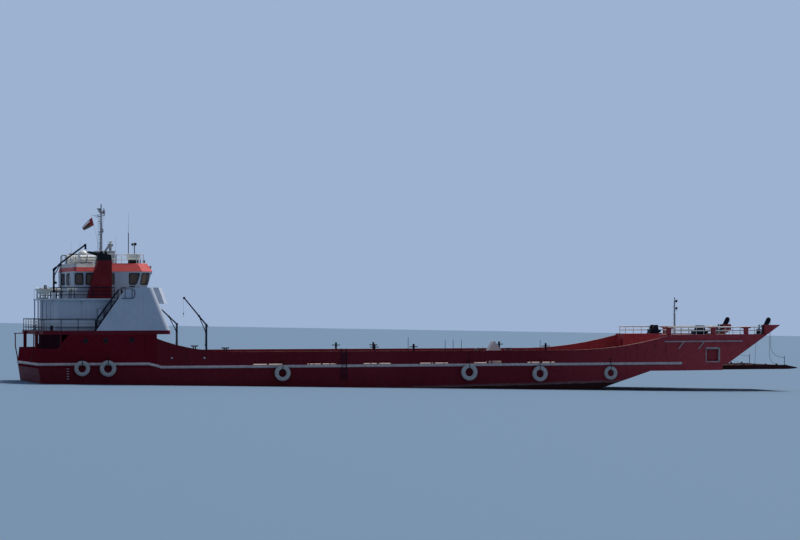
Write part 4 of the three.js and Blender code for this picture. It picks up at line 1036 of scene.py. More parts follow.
def makeRoofFittings():
    bm = bmesh.new()
    for station, y, top, thick in whips:
        foot = Vector((at(station), y, roofTop))
        joint = foot.z + (top - foot.z) * (0.6 if top > 8 else 0.3)
        tube(bm, foot, foot + up(0.05), 0.03, index=1)
        tube(bm, foot, (foot.x, foot.y, joint), thick, segments=8, index=3)
        tube(bm, (foot.x, foot.y, joint - 0.01), (foot.x, foot.y, top), thick * 0.55, 0.004, 6, 0)
    for station, y in ((1.8, -0.55), (1.8, 0.45), (2.75, 1.1)):
        foot = Vector((at(station), y, roofTop))
        tube(bm, foot, foot + up(0.2), 0.05, segments=14)
        turned(bm, [(0, 0.28), (0.07, 0.26), (0.1, 0.22), (0.1, 0.19), (0, 0.19)], Matrix.Translation(foot),
               24)
    # low frame of louvred plates between the dome and the funnel
    for x in (1.95, 2.3, 2.7):
        slab(bm, (at(x) - 0.012, -1.78, roofTop), (at(x) + 0.012, -1.6, roofTop + 0.36), 0.004)
    for k in range(5):
        z = roofTop + 0.07 + 0.065 * k
        slab(bm, (at(1.95), -1.74, z - 0.004), (at(2.7), -1.62, z + 0.004), turn=Matrix.Rotation(0.5, 4, "X"))
    # liferaft in its cradle on the port side
    for x in (1.95, 2.4):
        slab(bm, (at(x) - 0.02, 0.86, roofTop), (at(x) + 0.02, 1.3, roofTop + 0.07), 0.006, 1)
    place = facing((at(1.76), 1.08, roofTop + 0.23), (1, 0, 0))
    turned(bm, [(0, 0), (0.14, 0.0), (0.175, 0.03), (0.18, 0.08), (0.18, 0.42), (0.188, 0.425),
                (0.188, 0.455), (0.18, 0.46), (0.18, 0.76), (0.175, 0.81), (0.14, 0.84), (0, 0.84)], place,
           30, 2)
    for x in (1.95, 2.4):
        hoop(bm, (at(x), 1.08, roofTop + 0.23), 0.186, 0.008, 28, 6, 1)
    # floodlights and loudspeakers over the front windows, a lamp on the roof edge and another under the eave
    for y in (-1.5, 1.5):
        slab(bm, (at(5.1), y - 0.09, eave + 0.14), (at(5.15), y + 0.09, eave + 0.25), 0.01, 3)
        slab(bm, (at(4.96), y - 0.02, eave + 0.16), (at(5.1), y + 0.02, eave + 0.22), 0.0, 3)
    tube(bm, (at(4.86), -1.3, roofTop - 0.02), (at(4.86), -1.3, roofTop + 0.05), 0.02, segments=10, index=3)
    turned(bm, [(0, 0), (0.045, 0.0), (0.06, 0.04), (0.06, 0.09), (0, 0.1)],
           facing((at(4.82), -1.3, roofTop + 0.09), (1, 0, 0)), 20, 3)
    turned(bm, [(0, 0), (0.06, 0.0), (0.075, 0.05), (0.0, 0.06)],
           facing((at(5.1), -1.62, eave - 0.06), (0.3, 0, -1)), 20, 3)
    return finishPiece("roof_fittings", bm, "craft", [paint["railPaint"], zinc, whiteGel, paint["sootAndShadowBlack"]])


# Signal mast with its louvred locker, platforms, lamps, yard and rungs.

mast = {"x": 3.19, "foot": 6.86, "joint": 8.08, "top": 8.86}


def lampOn(bm, foot, radius=0.04, tall=0.11, body=1, glassIndex=2):
    foot = Vector(foot)
    place = Matrix.Translation(foot)
    turned(bm, [(0, 0), (radius, 0), (radius, tall * 0.22), (radius * 0.8, tall * 0.25), (0, tall * 0.25)],
           place, 20, body)
    turned(bm, [(0, tall * 0.25), (radius * 0.78, tall * 0.25), (radius * 0.82, tall * 0.5),
                (radius * 0.78, tall * 0.78), (0, tall * 0.78)], place, 20, glassIndex)
    turned(bm, [(0, tall * 0.78), (radius, tall * 0.78), (radius * 0.9, tall * 0.9), (radius * 0.3, tall),
                (0, tall)],
           place, 20, body)


def makeMast():
    bm = bmesh.new()
    x = at(mast["x"])
    tube(bm, (x, 0, mast["foot"] - 0.02), (x, 0, mast["joint"]), 0.06, 0.05, 20)
    tube(bm, (x, 0, mast["joint"] - 0.02), (x, 0, mast["top"]), 0.042, 0.026, 16)
    tube(bm, (x, 0, mast["joint"] - 0.03), (x, 0, mast["joint"] + 0.02), 0.058, segments=20)
    lampOn(bm, (x, 0, mast["top"] - 0.01), 0.034, 0.1)
    # platforms with gussets, lamps facing forward and aft
    for low, half, fore, aft in ((8.6, 0.11, 0.17, 0.13), (7.7, 0.1, 0.12, 0.12)):
        slab(bm, (x - aft, -half, low), (x + fore, half, low + 0.03), 0.006)
        for dx in (-aft + 0.02, fore - 0.02):
            prism(bm, [(x + dx, -0.006, low), (x, -0.006, low), (x, -0.006, low - 0.12)], (0, 0.012, 0))
        lampOn(bm, (x + fore - 0.05, 0, low + 0.03), 0.04, 0.12)
    lampOn(bm, (x - 0.08, 0, 8.63), 0.034, 0.1)
    prism(bm, [(x - 0.03, -0.006, 8.76), (x - 0.21, -0.006, 8.75), (x - 0.03, -0.006, 8.56)], (0, 0.012, 0))
    lampOn(bm, (x + 0.13, 0, 8.53), 0.045, 0.13, 3, 4)
    slab(bm, (x + 0.02, -0.04, 8.5), (x + 0.18, 0.04, 8.53), 0.004)
    for dx, height in ((-0.14, 8.17), (0.1, 7.83), (-0.12, 7.6), (-0.1, 7.2)):
        slab(bm, (x + min(dx, 0), -0.03, height - 0.02), (x + max(dx, 0), 0.03, height + 0.02), 0.006)
    # yard and the small flag gaff
    for side in (-1, 1):
        tube(bm, (x, 0, 8.42), (x, side * 0.9, 8.42), 0.022, 0.012, 12)
        tube(bm, (x, side * 0.55, 8.42), (x, 0, 8.62), 0.008, segments=6)
        for y in (0.4, 0.8):
            ball(bm, (x, side * y, 8.395), 0.014, 1)
            tube(bm, (x, side * y, 8.39), (x - 0.12, side * (0.15 + y * 0.2), 6.87), 0.0035, segments=5,
                 index=5)
        lampOn(bm, (x, side * 0.86, 8.43), 0.028, 0.09)
    tube(bm, (x, 0, 8.38), (x - 0.42, 0, 8.46), 0.016, 0.01, 10)
    tube(bm, (x, 0, 8.2), (x - 0.3, 0, 8.435), 0.008, segments=6)
    for k in range(16):
        z = 6.98 + 0.1 * k
        if z < 7.62 or 7.8 < z:
            rung(bm, x - 0.045, x - 0.11, 0, 0.06, z)
    makeMastLocker(bm, x)
    return finishPiece("signal_mast", bm, "craft",
                       [paint["mastPaint"], zinc, lens, paint["sootAndShadowBlack"], paint["fasciaPaint"], greased],
                       ["mast"])


def makeMastLocker(bm, x):
    low, high = roofTop, mast["foot"]
    slab(bm, (x - 0.26, -0.33, low), (x + 0.56, 0.33, high), 0.018)
    slab(bm, (x - 0.28, -0.35, high - 0.03), (x + 0.58, 0.35, high + 0.004), 0.006)
    for side in (-1, 1):
        for k in range(7):
            z = low + 0.12 + 0.062 * k
            tilt = Matrix.Rotation(side * radians(-35), 4, "X")
            slab(bm, (x - 0.18, side * 0.333 - 0.02, z - 0.003), (x + 0.2, side * 0.333 + 0.02, z + 0.003),
                 turn=tilt)
        slab(bm, (x + 0.27, side * 0.334 - 0.008, low + 0.06), (x + 0.5, side * 0.334 + 0.008, high - 0.08),
             0.004)
        tube(bm, (x + 0.3, side * 0.34, low + 0.3), (x + 0.3, side * 0.36, low + 0.3), 0.012, segments=8,
             index=1)
    # radar pedestal
    tube(bm, (x + 0.41, 0, high - 0.02), (x + 0.41, 0, 7.075), 0.07, 0.055, 20)
    for y in (-0.07, 0.06):
        prism(bm, [(x + 0.12, y, high - 0.01), (x + 0.2, y, high - 0.01), (x + 0.36, y, 7.03),
                   (x + 0.36, y, 7.09), (x + 0.3, y, 7.09)], (0, 0.012, 0))
    slab(bm, (x + 0.3, -0.11, 7.06), (x + 0.52, 0.11, 7.18), 0.02)
    slab(bm, (x + 0.33, -0.115, 7.09), (x + 0.49, 0.115, 7.15), 0.006, 3)


def makeScanner():
    bm = bmesh.new()
    x = at(mast["x"] + 0.41)
    tube(bm, (x, 0, 7.1805), (x, 0, 7.232), 0.045, 0.038, 24)
    slab(bm, (x - 0.04, -0.32, 7.222), (x + 0.04, 0.32, 7.299), 0.026)
    slab(bm, (x + 0.036, -0.3, 7.24), (x + 0.0425, 0.3, 7.28), 0.003, 1)
    return finishPiece("radar_bar", bm, "scanner", [whiteGel, paint["sootAndShadowBlack"]],
                       ["scanner"])


# Flag of woven bunting, sagging aft from the gaff, and its halyard.

flagCut = {"length": 0.6, "hoist": 0.35, "columns": 44, "rows": 20}


def makeFlag():
    # hangs from its halyard aft of the gaff, gathered in folds towards the fly
    bm = bmesh.new()
    bmesh.ops.create_grid(bm, x_segments=flagCut["columns"], y_segments=flagCut["rows"], size=0.5)
    cut = bm.loops.layers.uv.new("cut")
    for face in bm.faces:
        for loop in face.loops:
            loop[cut].uv = (loop.vert.co.x + 0.5, loop.vert.co.y + 0.5)
    x = at(mast["x"])
    head, foot = Vector((x - 0.41, 0, 8.345)), Vector((x - 0.327, 0, 8.01))
    flyHead, flyFoot = Vector((x - 0.853, 0, 7.895)), Vector((x - 0.772, 0, 7.772))
    for vert in bm.verts:
        u, v = vert.co.x + 0.5, vert.co.y + 0.5
        top = head.lerp(flyHead, u) + up(0.045 * sin(pi * u))
        bottom = foot.lerp(flyFoot, u) - up(0.012 * sin(pi * u))
        spot = bottom.lerp(top, v)
        gather = 0.052 * min(1.0, u * 1.6) * sin(2 * pi * 2.2 * v + 1.5 * u)
        vert.co = spot + Vector((0, gather + 0.012 * sin(7 * u), 0))
    piece = finishPiece("flag_cloth", bm, "craft", [flagCloth], ["flag"], smooth=0)
    piece.data.polygons.foreach_set("use_smooth", [True] * len(piece.data.polygons))
    return piece


def makeHalyard():
    bm = bmesh.new()
    x = at(mast["x"])
    line = [(x - 0.42, 0, 8.455), (x - 0.412, 0, 8.35), (x - 0.36, 0.0, 8.14), (x - 0.325, 0, 8.0),
            (x - 0.16, 0, 7.3), (x - 0.07, 0, 6.9)]
    pipe(bm, line, 0.0035, 6)
    for height, offset in ((8.345, 0.411), (8.01, 0.328)):
        ball(bm, (x - offset, 0, height), 0.009, 1)
    return finishPiece("flag_halyard", bm, "craft", [greased, zinc], smooth=50)


makeDome()
makeRoofLocker()
makeRoofFittings()
makeMast()
makeScanner()
makeFlag()
makeHalyard()
print("roof and mast")


# Davits of round pipe: post with collar, boom with sheave, stay, wire with ball and hook.

davits = {
    "cargo_davit_s": {"foot": (7.24, -3.36, 2.0105), "top": 3.63, "tip": (-0.98, 1.145), "heel": 0.09,
                      "wire": 0.62},
    "cargo_davit_p": {"foot": (7.24, 3.36, 2.0105), "top": 3.63, "tip": (-1.11, 1.01), "heel": 0.05,
                      "wire": 0.35},
    "boat_davit": {"foot": (0.69, -2.65, 5.0155), "top": 6.0, "tip": (1.37, 1.08), "knee": (0.31, 0.29),
                   "wire": 0.09},
}
davitRadius = 0.045


def hookOn(bm, top, drop, index):
    top = Vector(top)
    low = top - up(drop)
    tube(bm, top, low, 0.0035, segments=6, index=index)
    ball(bm, low - up(0.025), 0.03, index, 12)
    hook = [low + Vector(p) for p in ((0, 0, -0.05), (0, 0, -0.085), (0.018, 0, -0.1), (0.024, 0, -0.12),
                                      (0.012, 0, -0.142), (-0.01, 0, -0.142), (-0.02, 0, -0.125))]
    pipe(bm, hook, 0.007, 8, index)


def makeDavit(name, look):
    bm = bmesh.new()
    x, y, z = at(look["foot"][0]), look["foot"][1], look["foot"][2]
    top, radius = look["top"], davitRadius
    tube(bm, (x, y, z), (x, y, top), radius, radius * 0.92, 24)
    tube(bm, (x, y, z), (x, y, z + 0.05), radius + 0.022, segments=24)
    tube(bm, (x, y, top - 0.05), (x, y, top + 0.012), radius + 0.008, segments=24)
    gussets(bm, (x, y, z + 0.05), radius * 0.95, 45, 0.02, 0.09, 0.006)
    tip = Vector((x + look["tip"][0], y, top + look["tip"][1]))
    start = Vector((x, y, top - 0.03))
    along = (tip - start).normalized()
    if "knee" in look:
        knee = Vector((x + look["knee"][0], y, top + look["knee"][1]))
        pipe(bm, [start, knee - along * 0.05, knee + Vector((0.06, 0, 0.045)), tip], 0.036, 14)
        stay = (Vector((x, y, top - 0.3)), knee - Vector((0.02, 0, 0.05)))
        tube(bm, (x - 0.03, y, top - 0.02), (x + 0.1, y, top + 0.1), 0.05, segments=16)
    else:
        tube(bm, start - along * look["heel"], tip, 0.034, 0.028, 16)
        stay = (Vector((x, y, top - 0.42)), start + (tip - start) * 0.33)
        tube(bm, start - along * (look["heel"] + 0.01), start - along * look["heel"], 0.04, segments=16)
    tube(bm, stay[0], stay[1], 0.02)
    for plate in (stay[0], stay[1]):
        block(bm, plate, (0.045, 0.006, 0.045), 0.004)
    # head sheave between two cheeks, and the wire led back along the boom and down the post
    head = tip + up(0.005)
    for dy in (-0.022, 0.022):
        slab(bm, head + Vector((-0.045, dy - 0.004, -0.06)), head + Vector((0.045, dy + 0.004, 0.035)), 0.003)
    turned(bm, [(0.008, -0.012), (0.034, -0.012), (0.028, 0), (0.034, 0.012), (0.008, 0.012)],
           facing(head - up(0.02), (0, 1, 0)), 24, 1)
    aside = 1 if look["tip"][0] > 0 else -1
    if "knee" in look:
        slab(bm, head + Vector((-0.035, -0.03, -0.2)), head + Vector((0.045, 0.03, -0.05)), 0.012)
    hookOn(bm, head + Vector((aside * 0.03, 0, -0.04)), look["wire"], 1)
    low = Vector((x, y, z + 0.42))
    fall = [head + Vector((-aside * 0.02, 0, 0)), start + along * 0.12 + Vector((aside * 0.02, 0, 0.05)),
            Vector((x + aside * 0.055, y, top - 0.12))]
    if "knee" in look:
        # the fall of the boat davit goes to a small hand winch on the post
        pipe(bm, fall + [low + Vector((aside * 0.07, 0, 0.06))], 0.0035, 6, 1)
        drum = low + Vector((aside * 0.08, 0, 0))
        block(bm, drum, (0.045, 0.06, 0.05), 0.008)
        tube(bm, drum - Vector((0, 0.085, 0)), drum + Vector((0, 0.085, 0)), 0.03, segments=16, index=1)
        tube(bm, drum + Vector((0, 0.085, 0)), drum + Vector((0, 0.1, 0)), 0.008, segments=8, index=1)
        tube(bm, drum + Vector((0, 0.1, -0.005)), drum + Vector((0, 0.1, 0.11)), 0.006, segments=8, index=1)
    else:
        # the fall of a cargo davit is made fast on a cleat above the bulwark
        cleat = Vector((x + aside * 0.052, y, z + 0.72))
        pipe(bm, fall + [cleat + Vector((aside * 0.004, 0, 0.03))], 0.0035, 6, 1)
        block(bm, cleat, (0.012, 0.012, 0.02), 0.002)
        tube(bm, cleat + Vector((aside * 0.008, 0, -0.06)), cleat + Vector((aside * 0.008, 0, 0.06)), 0.008,
             segments=10)
    return finishPiece(f"{name}_pipes", bm, name, [paint["davitPaint"], greased], [name])


for name, look in davits.items():
    makeDavit(name, look)


# Foremast on the starboard bow wing with two black floodlights and rungs.

foremast = {"x": 29.15, "y": -2.9, "top": 4.78, "lamps": (4.61, 4.28)}


def makeForemast():
    bm = bmesh.new()
    x, y = at(foremast["x"]), foremast["y"]
    tube(bm, (x, y, wingTop), (x, y, 4.0), 0.036, 0.034, 20)
    tube(bm, (x, y, 3.99), (x, y, foremast["top"] - 0.01), 0.03, 0.024, 16)
    turned(bm, [(0, 0), (0.03, 0), (0.034, 0.006), (0, 0.01)],
           Matrix.Translation((x, y, foremast["top"] - 0.011)), 16)
    slab(bm, (x - 0.1, y - 0.1, wingTop), (x + 0.1, y + 0.1, wingTop + 0.016), 0.004)
    gussets(bm, (x, y, wingTop + 0.016), 0.034, 0, 0.05, 0.12, 0.008)
    for k in range(10):
        rung(bm, x - 0.03, x - 0.085, y, 0.045, wingTop + 0.2 + 0.12 * k)
    for z in foremast["lamps"]:
        slab(bm, (x + 0.02, y - 0.012, z - 0.05), (x + 0.07, y + 0.012, z - 0.03), 0.003)
        turned(bm, [(0, 0), (0.04, 0.0), (0.062, 0.03), (0.07, 0.062), (0.0, 0.066)],
               facing((x + 0.052, y, z + 0.01), (0.9, 0, -0.35)), 22, 1)
        slab(bm, (x + 0.03, y - 0.035, z - 0.02), (x + 0.075, y + 0.035, z + 0.03), 0.008, 1)
    slab(bm, (x - 0.01, y - 0.06, 4.15), (x + 0.12, y + 0.06, 4.162), 0.003)
    pipe(bm, [(x - 0.034, y, 4.6), (x - 0.042, y, 4.1), (x - 0.042, y, 3.3),
              (x - 0.04, y + 0.03, wingTop + 0.02)],
         0.006, 6, 1)
    return finishPiece("foremast_pipes", bm, "craft", [paint["mastPaint"], paint["sootAndShadowBlack"]],
                       ["foremast"])


makeForemast()
print("davits and foremast")


# Bow wings: sheave posts, ramp winches, wires, pocket frames.

wings = {"postX": 33.67, "postY": 2.5, "sheave": (0.265, 0.235), "pocket": (30.52, 31.245, 1.81, 2.48),
         "lugs": (32.86, 33.41, 33.955, 34.505), "lugY": 2.1, "postRamp": 34.9, "wire": 0.0075}
winches = {"s": {"x": 30.48, "half": 0.37, "outer": 2.95}, "p": {"x": 30.24, "half": 0.28, "outer": 2.95}}


def makeSheavePost(tag, side):
    bm = bmesh.new()
    x, y, z = at(wings["postX"]), side * wings["postY"], hornTop
    outline = [(0.03, 0), (0.255, 0), (0.3, 0.07), (0.36, 0.18), (0.37, 0.24), (0.345, 0.3), (0.29, 0.335),
               (0.23, 0.335), (0.18, 0.3), (0.13, 0.2)]
    for dy in (-0.045, 0.027):
        prism(bm, [(x + dx, y + dy, z + dz) for dx, dz in outline], (0, 0.018, 0), bevel=0.004)
    slab(bm, (x + 0.03, y - 0.045, z), (x + 0.25, y + 0.045, z + 0.014), 0.003)
    prism(bm, [(x + 0.03, y - 0.03, z), (x + 0.045, y - 0.03, z), (x + 0.16, y - 0.03, z + 0.21),
               (x + 0.14, y - 0.03, z + 0.21)],
          (0, 0.06, 0))
    centre = Vector((x + wings["sheave"][0], y, z + wings["sheave"][1]))
    turned(bm, [(0.02, -0.022), (0.108, -0.022), (0.11, -0.016), (0.088, 0), (0.11, 0.016), (0.108, 0.022),
                (0.02, 0.022)],
           facing(centre, (0, 1, 0)), 36)
    tube(bm, centre - Vector((0, 0.068, 0)), centre + Vector((0, 0.068, 0)), 0.02, segments=16, index=1)
    # foot block and plate where the wire turns up, aft of the horn
    low = wingTop
    slab(bm, (x - 0.22, y - 0.08, z - 0.014), (x + 0.02, y + 0.08, z), 0.003)
    for dx in (-0.2, -0.05):
        slab(bm, (x + dx - 0.01, y - 0.07, low), (x + dx + 0.01, y + 0.07, z - 0.012), 0.0)
    turned(bm, [(0.02, -0.02), (0.09, -0.02), (0.072, 0), (0.09, 0.02), (0.02, 0.02)],
           facing((x - 0.12, y, low + 0.13), (0, 1, 0)), 30)
    slab(bm, (x - 0.32, y - 0.1, low), (x - 0.02, y + 0.1, low + 0.03), 0.004)
    slab(bm, (x - 0.3, y + 0.03, low + 0.03), (x - 0.22, y + 0.1, low + 0.24), 0.008)
    return finishPiece(f"sheave_{tag}", bm, "craft", [paint["davitPaint"], greased],
                       [f"sheave_post_{tag}"])


def makeRampWinch(tag, side):
    bm = bmesh.new()
    look = winches[tag]
    x, half = at(look["x"]), look["half"]
    low, outer, inner = wingTop, look["outer"], 2.35
    ends = sorted((side * outer, side * inner))
    slab(bm, (x - half, ends[0], low), (x + half, ends[1], low + 0.03), 0.005)
    middle, radius = low + 0.24, half * 0.38
    for y in (ends[0] + 0.045, ends[1] - 0.045):
        prism(bm, [(x - half * 0.55, y - 0.02, low + 0.03), (x + half * 0.55, y - 0.02, low + 0.03),
                   (x + half * 0.34, y - 0.02, low + 0.4), (x + half * 0.1, y - 0.02, low + 0.413),
                   (x - half * 0.2, y - 0.02, low + 0.413), (x - half * 0.4, y - 0.02, low + 0.36)],
              (0, 0.04, 0), bevel=0.005)
    drum = (ends[0] + 0.09, ends[1] - 0.09)
    tube(bm, (x, drum[0], middle), (x, drum[1], middle), radius * 0.62, segments=28, index=1)
    for y in drum:
        tube(bm, (x, y - 0.008, middle), (x, y + 0.008, middle), radius, segments=32)
    wraps = int((drum[1] - drum[0] - 0.03) / 0.022)
    for k in range(wraps):
        y = drum[0] + 0.02 + 0.022 * k
        turned(bm, [(radius * 0.6, 0), (radius * 0.72, 0.004), (radius * 0.76, 0.011), (radius * 0.72, 0.018),
                    (radius * 0.6, 0.022)], facing((x, y, middle), (0, 1, 0)), 26, 1)
    slab(bm, (x - half * 0.95, ends[0] + 0.06, low + 0.03), (x - half * 0.6, ends[1] - 0.06, low + 0.2),
         0.015)
    tube(bm, (x + half * 0.7, ends[0] + 0.08, low + 0.12), (x + half * 0.7, ends[1] - 0.1, low + 0.12), 0.07,
         segments=22)
    for turn in arc(45, 360, 90):
        spot = Vector((x + cos(turn) * half * 0.9,
                       (ends[0] + ends[1]) / 2 + sin(turn) * (outer - inner) * 0.42, low + 0.03))
        tube(bm, spot, spot + up(0.012), 0.012, segments=6, index=1)
    tube(bm, (x - half * 0.3, ends[1] - 0.05, low + 0.41), (x - half * 0.42, ends[1] - 0.05, low + 0.41),
         0.01, segments=8, index=1)
    # the wire runs low along the wing to the foot block
    start = Vector((x, side * 2.5, low + 0.24 - radius * 0.7))
    end = Vector((at(wings["postX"] - 0.12), side * wings["postY"], low + 0.05))
    pipe(bm, [start, start.lerp(end, 0.5) - up(0.01), end], 0.006, 6, 1)
    return finishPiece(f"ramp_winch_{tag}_drum", bm, "craft", [paint["davitPaint"], greased],
                       [f"ramp_winch_{tag}"])


def hangingWire(bm, top, low, plumb):
    # plumb is how far down the wire hangs straight before it sweeps across to its lower end
    top, low = Vector(top), Vector(low)
    bend = top + (low.z + plumb - top.z) * up(1) + Vector((0.02, 0, 0))
    knee = bend + Vector((0.03, 0, -plumb * 0.9))
    pipe(bm, [top, top.lerp(bend, 0.5)] + curved(bend, knee, low, 8), wings["wire"], 7)


def makeHoistWires(tag, side):
    # two slack wires from the sheave to the ramp, and one from under the wing to the second lug
    bm = bmesh.new()
    lugs, lugY, postY = wings["lugs"], side * wings["lugY"], side * wings["postY"]
    centre = Vector((at(wings["postX"] + wings["sheave"][0]), postY, hornTop + wings["sheave"][1]))
    over = [centre + Vector((0.092 * cos(a), 0, 0.092 * sin(a))) for a in arc(200, -11, -15)]
    foot = Vector((at(wings["postX"] - 0.04), postY, wingTop + 0.15))
    lug = Vector((at(lugs[3]), lugY, rampTop + 0.07))
    pipe(bm, [foot] + over, wings["wire"], 7)
    hangingWire(bm, over[-1], (at(wings["postRamp"]), lugY, rampTop + 0.36), 0.55)
    hangingWire(bm, centre + Vector((0.03, 0, -0.1)), lug, 0.4)
    low = Vector((at(lugs[1]), lugY, rampTop + 0.07))
    under = wingUnderside(lugs[1])
    tube(bm, (low.x, side * 2.3, under), low, 0.006, segments=6)
    piece = finishPiece(f"hoist_wires_{tag}", bm, None, [greased], smooth=50)
    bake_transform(piece)


def wingUnderside(station):
    # height of the raked stem line of the wing
    return 1.75 + (station - 31.69) * (3.5 - 1.75) / (34.45 - 31.69)


def makePocketFrame(tag, side):
    bm = bmesh.new()
    x0, x1, low, high = wings["pocket"]

    def spot(x, z, out):
        return (at(x), side * (breadthAt(x) + out), z)

    wide, lap, deep = 0.075, 0.012, 0.05
    for a, b in (((x0 - lap, low - lap), (x1 + lap, low + wide * 0.6)),
                 ((x0 - lap, high - wide), (x1 + lap, high + lap)),
                 ((x0 - lap, low), (x0 + wide * 0.5, high)), ((x1 - wide, low), (x1 + lap, high))):
        outline = [spot(a[0], a[1], -deep), spot(b[0], a[1], -deep), spot(b[0], b[1], -deep),
                   spot(a[0], b[1], -deep)]
        prism(bm, outline, (0, side * (deep + 0.02), 0), bevel=0.006)
    return finishPiece(f"pocket_frame_{tag}", bm, "craft", [paint["barPaint"]])


for tag, side in sides:
    makeSheavePost(tag, side)
    makeRampWinch(tag, side)
    makeHoistWires(tag, side)
    makePocketFrame(tag, side)
print("bow wings fitted")


# Ramp: kerbs, non-slip bars and shackles, all riding on the ramp.

def makeRampFittings():
    bm = bmesh.new()
    aft, fore, half = 31.56, 35.0, 2.2
    for side in (-1, 1):
        lugY = side * wings["lugY"]
        slab(bm, (at(aft), side * half - 0.03, rampTop), (at(fore), side * half + 0.03, rampTop + 0.035),
             0.008)
        for x in wings["lugs"]:
            hoop(bm, (at(x), lugY, rampTop + 0.06), 0.035, 0.009, 14, 7, 1)
        # grey post near the toe that the outer wire is made fast to
        foot = Vector((at(wings["postRamp"]), lugY, rampTop))
        tube(bm, foot, foot + up(0.44), 0.022, 0.018, 12, 3)
        tube(bm, foot, foot + up(0.03), 0.045, segments=16, index=3)
        ball(bm, foot + up(0.44), 0.024, 3)
    for k in range(22):
        x = aft + 0.1 + 0.157 * k
        if x < fore - 0.02:
            slab(bm, (at(x) - 0.012, -2.05, rampTop), (at(x) + 0.012, 2.05, rampTop + 0.014), 0.003, 2)
    return finishPiece("ramp_kerbs", bm, "ramp",
                       [paint["rampPaint"], zinc, paint["deckPaint"], paint["mastPaint"]])


makeRampFittings()
print("ramp fitted")


# Funnels: louvres in the outboard face, rungs, a welded lip under the black top, and exhaust pipes in the
# top.

funnel = {"inner": 2.31, "outer": 2.85, "aft": 2.16}


def makeFunnelFittings(tag, side):
    bm = bmesh.new()
    outer, inner = side * funnel["outer"], side * funnel["inner"]
    slope = (2.59 - 2.16) / (6.4 - 4.755)
    for z0 in (5.0, 5.75):
        aft = funnel["aft"] + slope * (z0 + 0.4 - 4.755) + 0.2
        slab(bm, (at(aft), outer - 0.006, z0), (at(3.02), outer + 0.006, z0 + 0.42), 0.004)
        for k in range(6):
            z = z0 + 0.06 + 0.06 * k
            slab(bm, (at(aft + 0.04), outer - 0.014, z - 0.003), (at(2.98), outer + 0.014, z + 0.003),
                 turn=Matrix.Rotation(side * 0.6, 4, "X"))
    x, y = at(3.19), (outer + inner) / 2
    for k in range(13):
        rung(bm, x - 0.01, x + 0.05, y, 0.09, 4.9 + 0.12 * k, 0.008, 2)
    # welded lip between the paint and the black top
    slab(bm, (at(2.582), min(outer, inner) - 0.01, 6.388), (at(3.195), max(outer, inner) + 0.01, 6.412),
         0.004, 1)
    for x, radius in ((2.8, 0.075), (3.0, 0.055)):
        turned(bm, [(radius - 0.01, 0), (radius, 0), (radius, 0.16), (radius - 0.01, 0.16)],
               facing((at(x), y, 6.64), (-0.35, 0, 1)), 24, 1)
    return finishPiece(f"funnel_fittings_{tag}", bm, "craft",
                       [paint["funnelPaint"], paint["sootAndShadowBlack"], paint["davitPaint"]])


# Inclined ladders from the poop deck to the boat deck: channel stringers, plate treads and handrails.

screenRail = {"y": 3.46, "posts": (3.657, 3.96),
              "path": [(3.45, 5.173), (3.98, 5.173), (4.06, 5.13), (4.088, 4.96), (4.06, 4.8), (4.0, 4.757),
                       (3.5, 4.757)]}
inclined = {"foot": 2.44, "top": 3.47, "near": 2.965, "far": 3.215, "treads": 9, "hand": 0.42}


def makeInclinedLadder(tag, side):
    bm = bmesh.new()
    foot, top = Vector((at(inclined["foot"]), 0, deckB)), Vector((at(inclined["top"]), 0, deckC))
    run = top - foot
    hand = inclined["hand"]
    for y in (inclined["near"], inclined["far"]):
        across = Vector((0, side * y, 0))
        prism(bm, [foot + across + Vector((-0.05, -0.012, 0)), foot + across + Vector((0.07, -0.012, 0)),
                   top + across + Vector((0.05, -0.012, 0)), top + across + Vector((-0.07, -0.012, 0))],
              (0, 0.024, 0), bevel=0.003)
        line = [foot + run * t + across + up(hand) for t in (0.04, 0.98)]
        pipe(bm, [foot + across + Vector((0.01, 0, 0.03)), line[0] - Vector((0.01, 0, 0.06)),
                  line[0] + run * 0.03, line[1], line[1] + Vector((0.1, 0, 0)),
                  line[1] + Vector((0.12, 0, -0.06)), top + across + Vector((0.11, 0, 0))], 0.018, 8)
        for t in (0.35, 0.65, 0.94):
            tube(bm, foot + run * t + across, foot + run * t + across + up(hand), 0.013,
                 segments=8)
    for k in range(inclined["treads"]):
        spot = foot + run * ((k + 0.7) / (inclined["treads"] + 0.4))
        low, high = sorted((side * inclined["near"], side * inclined["far"]))
        slab(bm, (spot.x - 0.06, low, spot.z - 0.006), (spot.x + 0.06, high, spot.z + 0.006), 0.0, 1)
    # grab rail on the outer face of the screen, beside the top step
    y = side * screenRail["y"]
    pipe(bm, [(at(x), y, z) for x, z in screenRail["path"]], 0.013, 8)
    for station in screenRail["posts"]:
        tube(bm, (at(station), y, 4.757), (at(station), y, 5.173), 0.012, segments=8)
        for z in (4.757, 5.173):
            tube(bm, (at(station), y, z), (at(station), y - side * 0.045, z), 0.01, segments=8)
    return finishPiece(f"inclined_ladder_{tag}", bm, "craft", [paint["davitPaint"], paint["mastPaint"]],
                       [f"ladder_{tag}"], smooth=45)


for tag, side in sides:
    makeFunnelFittings(tag, side)
    makeInclinedLadder(tag, side)
print("funnels and ladders fitted")


# Rescue boat: lofted shell with a well, rubbing band, thwarts and an outboard engine, lashed on its chocks.

boat = {"x": 0.488, "y": -0.62, "low": 4.9555, "high": 5.2155, "half": 0.285, "end": 0.975}


